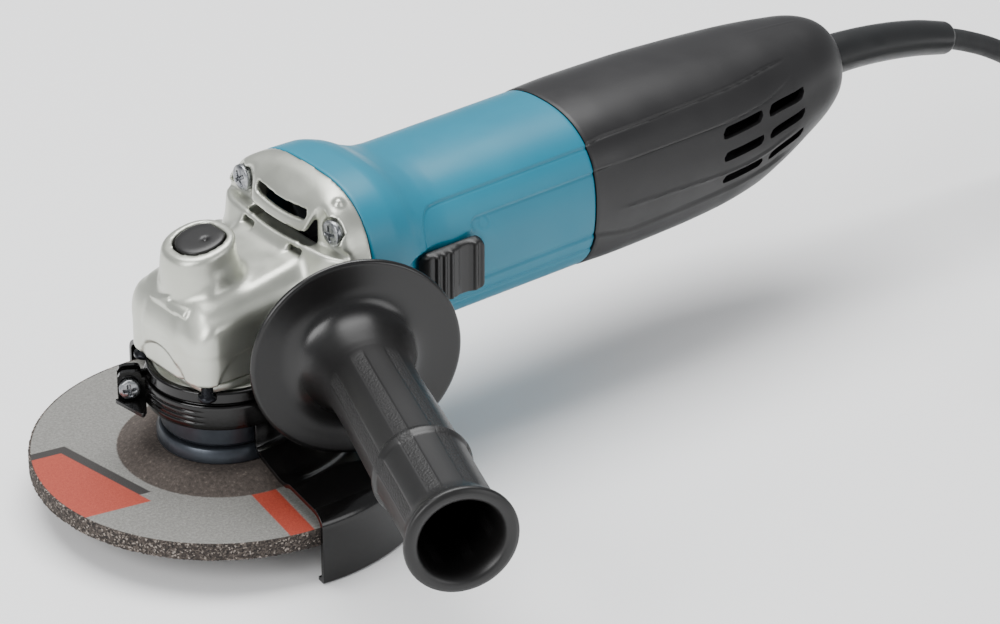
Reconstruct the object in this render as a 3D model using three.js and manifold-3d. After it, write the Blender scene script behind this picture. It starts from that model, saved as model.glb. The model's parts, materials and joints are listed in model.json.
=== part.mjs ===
// Corded angle grinder with a 125 mm depressed-centre wheel, a half guard and a side handle.
// Millimetres. +Z up, +X from the gear head to the cord, -Y to the side-handle side.
// Origin: centre of the spindle's lower end face.
import * as THREE from 'three';
import { mergeVertices } from 'three/addons/utils/BufferGeometryUtils.js';
import Module from 'manifold-3d';

const wasm = await Module();
wasm.setup();

// ---------- driving dimensions ----------
const GAP = 0.3; // clearance between neighbouring pieces
const AXIS = 61.2; // height of the motor axis
const FLOOR = -9.5; // lower edge of the guard, which the tool stands on

const WHEEL_R = 62.5; // 125 mm wheel
const WHEEL_LOW = 2; // underside of the wheel's rim
const WHEEL_THICK = 6;
const WHEEL_BORE_R = 11.1;
const HUB_RISE = 4; // how far the centre is depressed
const SPINDLE_R = 7; // M14 thread

const GEAR_TEETH = 36;
const PINION_TEETH = 11;
const GEAR_PITCH_R = 16.5;
const PINION_PITCH_R = GEAR_PITCH_R * PINION_TEETH / GEAR_TEETH;
const TOOTH_HEIGHT = 0.75;
const TOOTH_DEPTH = 0.95;
const TOOTH_INNER = 0.72; // inner end of the teeth, as a share of the outer end

const FLANGE_X = 36; // joint between gear housing and motor housing
const COVER_X = 131; // joint between motor housing and rear cover
const REAR_X = 253; // rear end of the rear cover
const WALL = 2.6;
const SCREW_OFFSET = 24; // housing screws from the motor axis, sideways and up
const SCREW_SEAT_X = 28.7; // face that their heads press on
const SCREW_HEAD_R = 4.3;

const NECK_R = 21.6; // round neck that the guard turns on
const NECK_LOW = 26.5;
const HEAD_LOW = 43.5; // underside of the gear housing
const BOX_SCREW_OFFSET = 17.6; // bearing box screws from the spindle, both ways
const BUTTON_X = -7.2; // middle of the lock button
const BUTTON_HALF = [7.7, 8.2];
const GUARD_R = 67;

const PIN_X = -9.6; // spindle lock pin, in front of the spindle
const HANDLE_LEAN = THREE.MathUtils.degToRad(21); // handle leans towards the wheel
const HANDLE_DISC = [21, -44, 51.9]; // centre of the handle's hand guard
const HANDLE_LONG = 114.7;

const CORD_R = 3.8;
const COIL_CENTRE = [362, -92];
const COIL_MIDDLE_R = 43.4;
const COIL_COLUMNS = 4;
const COIL_LAYERS = 2;
const COIL_LOW = FLOOR + 1.1; // the coil lies on its tie

// ---------- finishes ----------
const finish = (color, roughness, metalness = 0) =>
  new THREE.MeshStandardMaterial({ color, roughness, metalness });
const castMetal = finish('#c3c4bd', 0.42, 0.8);
const tealPlastic = finish('#43919f', 0.45);
const blackPlastic = finish('#323132', 0.55);
const glossPaint = finish('#1c1a19', 0.18);
const steel = finish('#8d8f92', 0.3, 1);
const darkSteel = finish('#45494f', 0.4, 0.9);
const grit = finish('#57514c', 0.95);
const copper = finish('#b06a3c', 0.35, 1);
const laminate = finish('#6f7276', 0.5, 0.9);
const fanPlastic = finish('#26292b', 0.6);
const carbon = finish('#2b2b2e', 0.7);
const brass = finish('#b79a53', 0.35, 1);
const rubber = finish('#242526', 0.7);
const bronze = finish('#9a7446', 0.5, 0.9);

// ---------- solids ----------
function toSolid(geometry) {
  const bare = geometry.clone();
  bare.deleteAttribute('normal');
  bare.deleteAttribute('uv');
  const merged = mergeVertices(bare, 1e-4);
  const triVerts = Uint32Array.from(merged.index.array);
  const vertProperties = Float32Array.from(merged.attributes.position.array);
  let solid = new wasm.Manifold(new wasm.Mesh({ numProp: 3, vertProperties, triVerts }));
  if (solid.volume() < 0) {
    for (let i = 0; i < triVerts.length; i += 3) {
      [triVerts[i], triVerts[i + 1]] = [triVerts[i + 1], triVerts[i]];
    }
    solid = new wasm.Manifold(new wasm.Mesh({ numProp: 3, vertProperties, triVerts }));
  }
  return solid;
}

function toGeometry(solid) {
  const mesh = solid.getMesh();
  const geometry = new THREE.BufferGeometry();
  geometry.setAttribute('position', new THREE.BufferAttribute(mesh.vertProperties, 3));
  geometry.setIndex(new THREE.BufferAttribute(mesh.triVerts, 1));
  return geometry;
}

const join = (...solids) => solids.reduce((whole, piece) => whole.add(piece));
const cut = (body, ...tools) => tools.reduce((left, tool) => left.subtract(tool), body);

// A profile of [radius, height] points turned about Z.
function turned(profile, segments = 20) {
  const points = profile.map(([r, z]) => new THREE.Vector2(r, z));
  return toSolid(new THREE.LatheGeometry(points, segments).rotateX(Math.PI / 2));
}

// The same about X, with heights read as x, around the motor axis.
function turnedX(profile, segments = 20, height = AXIS) {
  return turned(profile, segments).rotate([0, 90, 0]).translate([0, 0, height]);
}

const ring = (inner, outer, low, high) =>
  [[inner, low], [outer, low], [outer, high], [inner, high], [inner, low]];
const rod = (radius, low, high) => [[0, low], [radius, low], [radius, high], [0, high]];

function box(x0, x1, y0, y1, z0, z1) {
  const geometry = new THREE.BoxGeometry(x1 - x0, y1 - y0, z1 - z0);
  return toSolid(geometry.translate((x0 + x1) / 2, (y0 + y1) / 2, (z0 + z1) / 2));
}

// A closed outline of [x, y] points raised from low to high.
function prism(outline, low, high, holes = []) {
  const shape = new THREE.Shape(outline.map(([x, y]) => new THREE.Vector2(x, y)));
  for (const hole of holes) {
    shape.holes.push(new THREE.Path(hole.map(([x, y]) => new THREE.Vector2(x, y))));
  }
  const geometry = new THREE.ExtrudeGeometry(shape, { depth: high - low, bevelEnabled: false });
  return toSolid(geometry.translate(0, 0, low));
}

// Skins a row of rings with equal point counts, and closes both ends with a fan.
function loft(rings, closed = false) {
  const count = rings[0].length;
  const positions = rings.flat().flatMap(([x, y, z]) => [x, y, z]);
  const index = [];
  const spans = closed ? rings.length : rings.length - 1;
  for (let i = 0; i < spans; i++) {
    const here = i * count;
    const next = ((i + 1) % rings.length) * count;
    for (let j = 0; j < count; j++) {
      const k = (j + 1) % count;
      index.push(here + j, here + k, next + j, next + j, here + k, next + k);
    }
  }
  if (!closed) {
    for (const [row, flip] of [[0, true], [rings.length - 1, false]]) {
      const middle = positions.length / 3;
      const sum = rings[row].reduce(([a, b, c], [x, y, z]) => [a + x, b + y, c + z], [0, 0, 0]);
      positions.push(...sum.map((value) => value / count));
      for (let j = 0; j < count; j++) {
        const a = row * count + j;
        const b = row * count + (j + 1) % count;
        index.push(...(flip ? [middle, b, a] : [middle, a, b]));
      }
    }
  }
  const geometry = new THREE.BufferGeometry();
  geometry.setAttribute('position', new THREE.Float32BufferAttribute(positions, 3));
  geometry.setIndex(index);
  return toSolid(geometry);
}

// A squared-off ellipse of unit angle steps: power 2 is an ellipse, higher is squarer.
function squircle(halfA, halfB, power, count = 24) {
  const bend = (value) => Math.sign(value) * Math.abs(value) ** (2 / power);
  return Array.from({ length: count }, (_, i) => {
    const angle = (2 * Math.PI * (i + 0.5)) / count;
    return [halfA * bend(Math.cos(angle)), halfB * bend(Math.sin(angle))];
  });
}

// Stations of [x, half width, half height, power, middle height] become a body along X.
function casing(stations, inset = 0) {
  return loft(stations.map(([x, halfY, halfZ, power, middle = AXIS]) =>
    squircle(halfY - inset, halfZ - inset, power).map(([y, z]) => [x, y, middle + z])));
}

// A [radius, height] outline swept about Z from one angle to another, closed at both ends.
function sector(profile, from, to, steps) {
  const outline = profile.map(([r, z]) => new THREE.Vector2(r, z));
  const count = outline.length;
  const positions = [];
  const index = [];
  for (let i = 0; i <= steps; i++) {
    const angle = from + ((to - from) * i) / steps;
    for (const { x: r, y: z } of outline) {
      positions.push(r * Math.cos(angle), r * Math.sin(angle), z);
    }
  }
  for (let i = 0; i < steps; i++) {
    for (let j = 0; j < count; j++) {
      const a = i * count + j;
      const b = i * count + (j + 1) % count;
      index.push(a, b, a + count, a + count, b, b + count);
    }
  }
  const end = steps * count;
  const clockwise = THREE.ShapeUtils.isClockWise(outline);
  for (const [a, p, q] of THREE.ShapeUtils.triangulateShape(outline, [])) {
    const same = THREE.ShapeUtils.isClockWise([a, p, q].map((i) => outline[i])) === clockwise;
    const [b, c] = same ? [p, q] : [q, p];
    index.push(a, c, b, end + a, end + b, end + c);
  }
  const geometry = new THREE.BufferGeometry();
  geometry.setAttribute('position', new THREE.Float32BufferAttribute(positions, 3));
  geometry.setIndex(index);
  return toSolid(geometry);
}

const part = new THREE.Group();
function add(name, solid, material) {
  const mesh = new THREE.Mesh(toGeometry(solid), material);
  mesh.name = name;
  part.add(mesh);
  return mesh;
}

const corners = [[1, 1], [1, -1], [-1, -1], [-1, 1]];

// ---------- side handle's line ----------
const handleOut = [-Math.sin(HANDLE_LEAN), -Math.cos(HANDLE_LEAN)];
// Stands a solid built along +Z on the handle's line; side -1 mirrors it to the far side.
function onHandleLine(solid, side = 1) {
  const turn = THREE.MathUtils.radToDeg(Math.atan2(handleOut[1], handleOut[0]));
  const placed = solid.rotate([0, 90, 0]).rotate([0, 0, turn]).translate(HANDLE_DISC);
  return side > 0 ? placed : placed.mirror([0, 1, 0]);
}

// ---------- gear housing ----------
// One cross-section of the head: flat underside, upright sides and rounded upper corners.
function headSection([x, half, top, round]) {
  const points = [[x, -half, HEAD_LOW], [x, half, HEAD_LOW]];
  const steps = 4;
  for (let i = 0; i <= steps; i++) {
    const angle = (Math.PI / 2) * (i / steps);
    const y = half - round + round * Math.cos(angle);
    points.push([x, y, top - round + round * Math.sin(angle)]);
  }
  for (let i = steps; i >= 0; i--) {
    const angle = (Math.PI / 2) * (i / steps);
    const y = half - round + round * Math.cos(angle);
    points.push([x, -y, top - round + round * Math.sin(angle)]);
  }
  return points;
}

const FLANGE_HALF = [34.3, 36.2];
const FLANGE_POWER = 2.9;

// The lock boss seen from above: a squircle whose height may slope with x.
function bossRing(middle, halfX, halfY, heightAt) {
  return squircle(halfX, halfY, 2.6, 16).map(([x, y]) => [middle + x, y, heightAt(middle + x)]);
}
const buttonTop = (x) => 85.7 + 0.2 * x;

function handleBoss(side) {
  const boss = onHandleLine(turned(rod(12.5, -22, -6.3), 20), side);
  return boss.intersect(box(0, FLANGE_X, -60, 60, HEAD_LOW - 8, AXIS + 20));
}

function gearHousing() {
  const head = loft([
    [-22.6, 16, 57, 4], [-21, 19.9, 60, 6], [-16, 21.1, 64.3, 8], [-8, 21.4, 68, 9],
    [4, 22, 72.4, 11], [14, 23.6, 75, 12], [19, 26, 78, 14],
    [21.5, 28.4, 82.5, 15], [24, 30.8, 89.5, 16], [27, 33.2, 95.4, 17], [29, 34, 96.6, 18],
  ].map(headSection));
  const flange = casing([[27.5, 33.2, 35.2, FLANGE_POWER], [29, ...FLANGE_HALF, FLANGE_POWER],
    [FLANGE_X, ...FLANGE_HALF, FLANGE_POWER]]);
  const lockBoss = loft([
    bossRing(-3, 17, 19.5, () => 62), bossRing(-4, 15, 16, () => 70),
    bossRing(-6.6, 12.4, 12.8, (x) => 77.5 + 0.2 * (x + 6)),
    bossRing(BUTTON_X, BUTTON_HALF[0] + 3.4, BUTTON_HALF[1] + 2.9, (x) => buttonTop(x) - 0.2),
  ]);
  const outside = join(head, flange, lockBoss, handleBoss(1), handleBoss(-1));
  const gearRoom = turned(rod(17.6, HEAD_LOW - 1, 58.5), 28);
  const bushSeat = turned(rod(5.9, 58, 66), 14);
  const pinionRoom = turnedX(rod(7.5, 9.5, 24.5), 16);
  const bearingSeat = turnedX(rod(11.3, 23.6, FLANGE_X + 1), 20);
  const fanRoom = turnedX(rod(27.5, 31.4, FLANGE_X + 1), 28);
  const airDuct = box(25.5, 33, -15, 15, 76, 92);
  const slots = [[87.2, 14, 2.2], [81.3, 16.4, 2.3]].map(([z, half, high]) =>
    box(12, 30, -half, half, z - high, z + high));
  const lowSlots = [-12.8, 12.8].map((y) => box(14, 30, y - 3.4, y + 3.4, 75.6, 78.2));
  const buttonWell = loft([72, 90].map((height) =>
    bossRing(BUTTON_X, BUTTON_HALF[0] + 0.4, BUTTON_HALF[1] + 0.4, () => height)));
  const pinHoles = [rod(2.3, 58, 73), rod(4.2, 66, 73)].map((profile) =>
    turned(profile, 12).translate([PIN_X, 0, 0]));
  const threads = [1, -1].map((side) => onHandleLine(turned(rod(4.3, -20, 0), 14), side));
  const screwRooms = corners.flatMap(([a, b]) => [rod(SCREW_HEAD_R + 0.7, 10, SCREW_SEAT_X + GAP),
    rod(2.7, SCREW_SEAT_X, FLANGE_X + 1)]
    .map((profile) => turnedX(profile, 12).translate([0, a * SCREW_OFFSET, b * SCREW_OFFSET])));
  const boxScrewHoles = corners.map(([a, b]) =>
    turned(rod(2.2, HEAD_LOW - 1, 50.5), 8).translate([a * BOX_SCREW_OFFSET, b * BOX_SCREW_OFFSET, 0]));
  return cut(outside, gearRoom, bushSeat, pinionRoom, bearingSeat, fanRoom, airDuct, ...slots,
    ...lowSlots, buttonWell, ...pinHoles, ...threads, ...screwRooms, ...boxScrewHoles);
}
add('gear_housing', gearHousing(), castMetal);

// ---------- bearing box under the head ----------
function bearingBox() {
  const plate = prism(squircle(20.9, 20.9, 5, 24), 40.2, HEAD_LOW - GAP);
  const neck = turned(rod(NECK_R, NECK_LOW, 41), 28);
  const seat = turned(rod(16.3, NECK_LOW + 1.2, HEAD_LOW + 1), 24);
  const exit = turned(rod(8, NECK_LOW - 1, 30), 16);
  const holes = corners.map(([a, b]) =>
    turned(rod(2.2, 39, HEAD_LOW + 1), 8).translate([a * BOX_SCREW_OFFSET, b * BOX_SCREW_OFFSET, 0]));
  return cut(join(plate, neck), seat, exit, ...holes);
}
add('bearing_box', bearingBox(), darkSteel);

corners.forEach(([a, b], i) => {
  const screw = turned([[0, 37.5], [2.9, 37.5], [2.9, 39.9], [1.9, 39.9], [1.9, 50], [0, 50]], 8);
  add(`bearing_box_screw_${i + 1}`, screw.translate([a * BOX_SCREW_OFFSET, b * BOX_SCREW_OFFSET, 0]), steel);
});

corners.forEach(([a, b], i) => {
  const screw = turnedX([[0, SCREW_SEAT_X - 3], [3.4, SCREW_SEAT_X - 3],
    [SCREW_HEAD_R, SCREW_SEAT_X - 2.1], [SCREW_HEAD_R, SCREW_SEAT_X], [2.3, SCREW_SEAT_X],
    [2.3, 48], [0, 48]], 12);
  const slot = box(SCREW_SEAT_X - 4, SCREW_SEAT_X - 2, -0.5, 0.5, AXIS - 5, AXIS + 5);
  const placed = cut(screw, slot).translate([0, a * SCREW_OFFSET, b * SCREW_OFFSET]);
  add(`housing_screw_${i + 1}`, placed, steel);
});

// ---------- bevel gears, meshing at the apex where the two axes cross ----------
// The teeth's height above the pitch cone around the gear, as a rounded wave with flat lands.
function toothWave(teeth, startsWithTooth) {
  const steps = [[-0.3, 0], [-0.14, 1], [0.14, 1], [0.3, 0]];
  const offset = startsWithTooth ? 0 : 0.5;
  return Array.from({ length: teeth }, (_, tooth) => steps.map(([at, high]) => [
    (2 * Math.PI * (tooth + offset + at)) / teeth, high ? TOOTH_HEIGHT : -TOOTH_DEPTH]))
    .flat();
}

// A straight bevel gear: axial distances are measured from the apex, along the gear's own axis.
function bevelGear(pitchR, apexDistance, wave, rings) {
  const slant = Math.hypot(pitchR, apexDistance);
  const [outward, inward] = [apexDistance / slant, pitchR / slant];
  const toothRing = (scale) => wave.map(([angle, high]) => [
    scale * (pitchR + high * outward), scale * (apexDistance - high * inward), angle]);
  const plainRing = (radius, axial) => wave.map(([angle]) => [radius, axial, angle]);
  const rows = rings.map((row) => (typeof row === 'number' ? toothRing(row) : plainRing(...row)));
  return rows.map((row) => row.map(([r, axial, angle]) =>
    [r * Math.cos(angle), r * Math.sin(angle), axial]));
}

function bigGear() {
  const bore = 5.9;
  const rows = bevelGear(GEAR_PITCH_R, PINION_PITCH_R, toothWave(GEAR_TEETH, true), [
    [bore, 12.4], 1, TOOTH_INNER, [bore, 6.7],
  ]);
  const flipped = rows.map((row) => row.map(([x, y, axial]) => [x, y, AXIS - axial]));
  const lockHoles = [0, 1, 2, 3].map((quarter) =>
    turned(rod(2.5, 46, 60), 6).translate([PIN_X, 0, 0]).rotate([0, 0, 90 * quarter]));
  return cut(loft(flipped, true), ...lockHoles);
}
add('bevel_gear', bigGear(), darkSteel);

function pinion() {
  const wave = toothWave(PINION_TEETH, true);
  const rows = bevelGear(PINION_PITCH_R, GEAR_PITCH_R, wave, [
    [2.5, 19.4], [4.4, 19.4], 1, TOOTH_INNER, [2.5, 11.8],
  ]);
  // The pinion's own angle 0 is turned to face the gear with a gap between two teeth.
  const half = Math.PI / PINION_TEETH;
  const placed = rows.map((row) => row.map(([x, y, axial]) => {
    const c = Math.cos(half);
    const s = Math.sin(half);
    return [axial, s * x + c * y, AXIS - (c * x - s * y)];
  }));
  return loft(placed, true);
}
add('pinion', pinion(), steel);

add('spindle', turned([[0, 0], [6.4, 0], [SPINDLE_R, 0.6], [SPINDLE_R, NECK_LOW], [6, NECK_LOW],
  [6, 47.5], [5.6, 47.5], [5.6, 57.5], [3.6, 57.5], [3.6, 65.4], [0, 65.4]], 20), steel);
add('spindle_lower_bearing', turned(ring(6.3, 16, 28, 38), 24), steel);
add('spindle_upper_bush', turned(ring(3.9, 5.6, 59, 65.6), 14), bronze);
add('dust_ring', turned(ring(7.3, 19.7, 17.5, 25.7), 28), darkSteel);

// ---------- wheel and its clamping pieces ----------
const WHEEL_TOP = WHEEL_LOW + WHEEL_THICK;
const HUB_TOP = WHEEL_TOP + HUB_RISE;
const HUB_LOW = WHEEL_LOW + HUB_RISE;
add('grinding_wheel', turned([[WHEEL_BORE_R, HUB_LOW], [24, HUB_LOW], [33.2, WHEEL_LOW],
  [WHEEL_R, WHEEL_LOW], [WHEEL_R, WHEEL_TOP], [33.7, WHEEL_TOP], [26, HUB_TOP],
  [WHEEL_BORE_R, HUB_TOP], [WHEEL_BORE_R, HUB_LOW]], 40), grit);
add('inner_flange', turned([[7.3, 9.4], [10.8, 9.4], [10.8, HUB_TOP + GAP],
  [21.2, HUB_TOP + GAP], [21.2, 17.2], [7.3, 17.2], [7.3, 9.4]], 24), darkSteel);
const nutBody = turned([[7.3, 1], [16.5, 1], [16.5, HUB_LOW - GAP],
  [10.8, HUB_LOW - GAP], [10.8, 8.9], [7.3, 8.9], [7.3, 1]], 24);
const pinSpannerHoles = [0, 90, 180, 270].map((angle) =>
  turned(rod(2.3, 0, 4), 8).translate([11.6, 0, 0]).rotate([0, 0, angle]));
add('lock_nut', cut(nutBody, ...pinSpannerHoles), darkSteel);

// ---------- spindle lock ----------
add('lock_pin', turned(rod(2, 58.2, 79), 10).translate([PIN_X, 0, 0]), steel);
const buttonRings = [() => 77.4, buttonTop].map((heightAt) =>
  bossRing(BUTTON_X, ...BUTTON_HALF, heightAt));
const buttonSocket = turned(rod(2.3, 70, 79.4), 10).translate([PIN_X, 0, 0]);
add('lock_button', cut(loft(buttonRings), buttonSocket), blackPlastic);

class Helix extends THREE.Curve {
  constructor(radius, low, high, turns) {
    super();
    Object.assign(this, { radius, low, high, turns });
  }

  getPoint(t) {
    const angle = 2 * Math.PI * this.turns * t;
    const z = THREE.MathUtils.lerp(this.low, this.high, t);
    return new THREE.Vector3(this.radius * Math.cos(angle), this.radius * Math.sin(angle), z);
  }
}

function circle(radius, count) {
  return new THREE.Shape(Array.from({ length: count }, (_, i) => {
    const angle = (2 * Math.PI * i) / count;
    return new THREE.Vector2(radius * Math.cos(angle), radius * Math.sin(angle));
  }));
}

function wire(curve, radius, sides, steps) {
  const options = { steps, bevelEnabled: false, extrudePath: curve };
  return toSolid(new THREE.ExtrudeGeometry(circle(radius, sides), options));
}
const lockSpring = wire(new Helix(3.2, 66.9, 76.6, 4), 0.4, 4, 32);
add('lock_spring', lockSpring.translate([PIN_X, 0, 0]), steel);

// ---------- guard ----------
const GUARD_FROM = THREE.MathUtils.degToRad(-98);
const GUARD_TO = THREE.MathUtils.degToRad(82);
const NECK_HOLE_R = NECK_R + 0.4;
const guardProfile = [
  [23.2, 27], [23.2, 18.4], [24.6, 17.1], [38, 14.6], [42, 14.6], [45, 15.8], [63.4, 15.2],
  [GUARD_R, 12.2], [GUARD_R, FLOOR], [63.4, FLOOR], [63.4, FLOOR + 1.4], [65.4, FLOOR + 1.8],
  [65.4, 11.6], [62.6, 13.6], [45.4, 14.2], [42.4, 13], [37.8, 13], [24, 15.5],
  [NECK_HOLE_R, 17.6], [NECK_HOLE_R, 27],
];
const guardNeck = turned(ring(NECK_HOLE_R, 23.2, 26.2, 35.4), 48).rotate([0, 0, -98]);
const guardHalf = sector(guardProfile, GUARD_FROM, GUARD_TO, 24);
add('wheel_guard', join(guardHalf, guardNeck), glossPaint);

// The clamp band is split at its two lugs, which point to the front left.
const BAND_AT = 148; // degrees
const CLAMP_SCREW = [29.3, 32.1]; // its distance from the spindle, and its height
const bandRing = turned(ring(23.5, 24.7, 26.8, 35.2), 36);
const lugs = [1.4, -3.0].map((y) => box(23.7, 33, y, y + 1.6, 26.8, 37.5));
const foot = prism([[23.9, 3.2], [34.5, 3.2], [25.4, 14.5], [23.9, 11]], 26.8, 28.2);
const split = box(20, 34, -1.4, 1.4, 26, 38);
const lugHoles = box(CLAMP_SCREW[0] - 1.7, CLAMP_SCREW[0] + 1.7, -6, 6, CLAMP_SCREW[1] - 1.7,
  CLAMP_SCREW[1] + 1.7);
const band = cut(join(bandRing, ...lugs), split, lugHoles);
add('guard_clamp_band', join(band, foot, box(23.7, 26, 2.6, 3.6, 26.8, 28.2))
  .rotate([0, 0, BAND_AT]), glossPaint);
const clampScrew = turned([[0, -4.6], [1.4, -4.6], [1.4, 3.4], [3.4, 3.4], [3.4, 5.4],
  [0, 5.4]], 12).rotate([-90, 0, 0])
  .translate([CLAMP_SCREW[0], 0, CLAMP_SCREW[1]]);
add('guard_clamp_screw', clampScrew.rotate([0, 0, BAND_AT]), steel);
const clampNut = turned(ring(1.7, 3.6, 0, 2.4), 6).rotate([90, 0, 0])
  .translate([CLAMP_SCREW[0], -3.3, CLAMP_SCREW[1]]);
add('guard_clamp_nut', clampNut.rotate([0, 0, BAND_AT]), steel);

// ---------- side handle ----------
const gripProfile = [
  [0, -6], [11, -6], [11.4, -3.6], [33.4, -1.4], [34.3, 0], [33.6, 1.1], [24, 0.8], [19, 3],
  [15.4, 9.5], [14.3, 18], [15, 71], [16, 73.2], [15.2, 76], [15.4, 108], [17.9, 112.8],
  [16.6, HANDLE_LONG], [13.6, 113.8], [12.8, 110], [12.6, 30], [0, 30],
];
const grip = cut(turned(gripProfile, 28), turned(rod(4.3, -7, 18.6), 12));
add('side_handle', onHandleLine(grip), blackPlastic);
add('handle_stud', onHandleLine(turned(rod(4, -19.5, 18.2), 12)), steel);

// ---------- motor housing ----------
const motorStations = [
  [FLANGE_X + GAP, 34.3, 36.2, 2.9], [46, 34.2, 36, 2.85], [52, 33.5, 34.6, 2.75],
  [59, 31.3, 31.2, 2.6], [66, 29.7, 29.2, 2.45], [72, 29.2, 28.8, 2.4],
  [COVER_X, 29.2, 28.9, 2.4],
];
const KNOB_Z = 60;
function motorHousing() {
  const outside = casing(motorStations);
  const inside = casing([
    [FLANGE_X - 1, 34.3, 36.2, 2.9], ...motorStations.slice(1, -1),
    [128, 29.2, 28.9, 2.4],
  ], WALL);
  const pillars = corners.map(([a, b]) =>
    turnedX(rod(4.6, FLANGE_X + GAP, 50), 12).translate([0, a * SCREW_OFFSET, b * SCREW_OFFSET]));
  const seat = turnedX(ring(9.8, 12.4, 122, 129), 20);
  const shell = join(cut(outside, inside), seat, ...pillars.map((p) => p.intersect(outside)));
  const shaftHole = turnedX(rod(9.8, 121, 129.4), 20);
  const shaftExit = turnedX(rod(5, 128, 133), 14);
  const airHoles = [40, 140, 220, 320].map((angle) =>
    turnedX(rod(5, 127, 133), 12).translate([0, 19, 0])
      .translate([0, 0, -AXIS]).rotate([angle, 0, 0]).translate([0, 0, AXIS]));
  const screwHoles = corners.map(([a, b]) =>
    turnedX(rod(2.7, 35, 49), 8).translate([0, a * SCREW_OFFSET, b * SCREW_OFFSET]));
  const knobRecess = box(49, 83.5, -40, -29.3, KNOB_Z - 11, KNOB_Z + 11);
  const knobSlot = box(61.4, 76.6, -40, -22, KNOB_Z - 4.6, KNOB_Z + 4.6);
  const rodSlot = box(120, 133, -26, -23.4, KNOB_Z - 4.2, KNOB_Z + 4.2);
  return cut(shell, shaftHole, shaftExit, ...airHoles, ...screwHoles, knobRecess, knobSlot,
    rodSlot);
}
add('motor_housing', motorHousing(), tealPlastic);

// ---------- rear cover ----------
const CORD_Z = 67.6; // the cord leaves above the motor axis
const coverStations = [
  [COVER_X + GAP, 29.5, 29.2, 2.4], [145, 29.8, 29.6, 2.4], [172, 29.4, 29.2, 2.4],
  [190, 28.6, 28.3, 2.4, 61.2], [206, 27.1, 26.7, 2.4, 61.9], [220, 24.7, 24.2, 2.35, 63.6],
  [234, 21, 20.9, 2.3, 65.6], [246, 17.4, 17.6, 2.15, 67.1], [REAR_X, 12.4, 12.6, 2.1, CORD_Z],
];
const ventSlots = [
  [188, 205, 70.4], [208, 223, 72.6], [188, 205, 62], [208, 223, 64.2], [190, 206, 53],
  [209, 222, 55.4],
];
function rearCover() {
  const outside = casing(coverStations);
  const inside = casing([[COVER_X - 2, 29.5, 29.2, 2.4], ...coverStations.slice(1, -2),
    [247.5, 17.8, 18, 2.1, 67.2]], 2.4);
  const cordHole = turnedX(rod(8, 240, 256), 18, CORD_Z);
  const vents = ventSlots.map(([from, to, z]) => box(from, to, -40, 40, z - 2, z + 2));
  return cut(outside, inside, cordHole, ...vents);
}
add('rear_cover', rearCover(), blackPlastic);

// ---------- armature ----------
const turnedPiece = (name, profile, material, segments = 20) =>
  add(name, turnedX(profile, segments), material);
turnedPiece('armature_shaft', [[0, 11.9], [2.2, 11.9], [2.2, 19.8], [4, 19.8], [4, 133.5],
  [0, 133.5]], steel, 14);
turnedPiece('armature_front_bearing', ring(4.3, 11, 24, 31), steel);
turnedPiece('armature_rear_bearing', ring(4.3, 9.5, 122.5, 129), steel);
turnedPiece('front_winding', [[4.3, 54], [10, 54], [15.6, 57.5], [15.6, 59.7], [4.3, 59.7],
  [4.3, 54]], copper);
turnedPiece('rear_winding', [[4.3, 94.3], [15.6, 94.3], [9.5, 104], [4.3, 104], [4.3, 94.3]],
  copper);
turnedPiece('commutator', ring(4.3, 11.8, 105, 120), brass);

function armatureCore() {
  const slots = 12;
  const outline = [];
  for (let i = 0; i < slots; i++) {
    for (const [at, radius] of [[0.06, 17.2], [0.5, 17.3], [0.94, 17.2], [0.97, 15.4]]) {
      const angle = (2 * Math.PI * (i + at)) / slots;
      outline.push([radius * Math.cos(angle), radius * Math.sin(angle)]);
    }
  }
  const hole = squircle(4.3, 4.3, 2, 14).reverse();
  return prism(outline, 60, 94, [hole]).rotate([0, 90, 0]).translate([0, 0, AXIS]);
}
add('armature_core', armatureCore(), laminate);

function fan() {
  const disc = turnedX(rod(24, 46, 48), 24);
  const hub = turnedX(rod(8, 39, 50), 14);
  const blades = Array.from({ length: 8 }, (_, i) => box(40, 46.5, 7, 23.6, -0.7, 0.7)
    .rotate([45 * i, 0, 0]).translate([0, 0, AXIS]));
  return cut(join(disc, hub, ...blades), turnedX(rod(4.3, 38, 52), 14));
}
add('cooling_fan', fan(), fanPlastic);

const baffleOutline = squircle(28.2, 28.2, 2.3, 24);
add('air_baffle', prism(baffleOutline, 50.6, 52.6, [squircle(17, 17, 2, 16).reverse()])
  .rotate([0, 90, 0]).translate([0, 0, AXIS]), fanPlastic);

// ---------- field ----------
const coilBars = (half, inset) => [22, 158, 202, 338].map((angle) =>
  box(58.5 - inset, 96 + inset, 21.2 - half, 21.2 + half, -half, half).rotate([angle, 0, 0]));
function fieldCore() {
  const stack = turnedX(rod(25.6, 60, 94.5), 24)
    .intersect(box(59, 96, -23, 23, 30, 92));
  const bore = turnedX(rod(17.9, 58, 97), 24);
  const slots = coilBars(1.9, 2).map((bar) => bar.translate([0, 0, AXIS]));
  return cut(stack, bore, ...slots);
}
add('field_core', fieldCore(), laminate);

[['field_coil_upper', [0, 1]], ['field_coil_lower', [2, 3]]].forEach(([name, pick], i) => {
  const bars = coilBars(1.5, 0);
  const arcOf = (low, high) => sector([[19.7, low], [22.7, low], [22.7, high], [19.7, high]],
    THREE.MathUtils.degToRad(20 + 180 * i), THREE.MathUtils.degToRad(160 + 180 * i), 8);
  const arcs = [[56, 59.6], [94.9, 99]].map(([low, high]) => arcOf(low, high)
    .rotate([0, 90, 0]).rotate([90, 0, 0]));
  const coil = join(...arcs, ...pick.map((k) => bars[k]));
  add(name, coil.translate([0, 0, AXIS]), copper);
});

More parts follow.
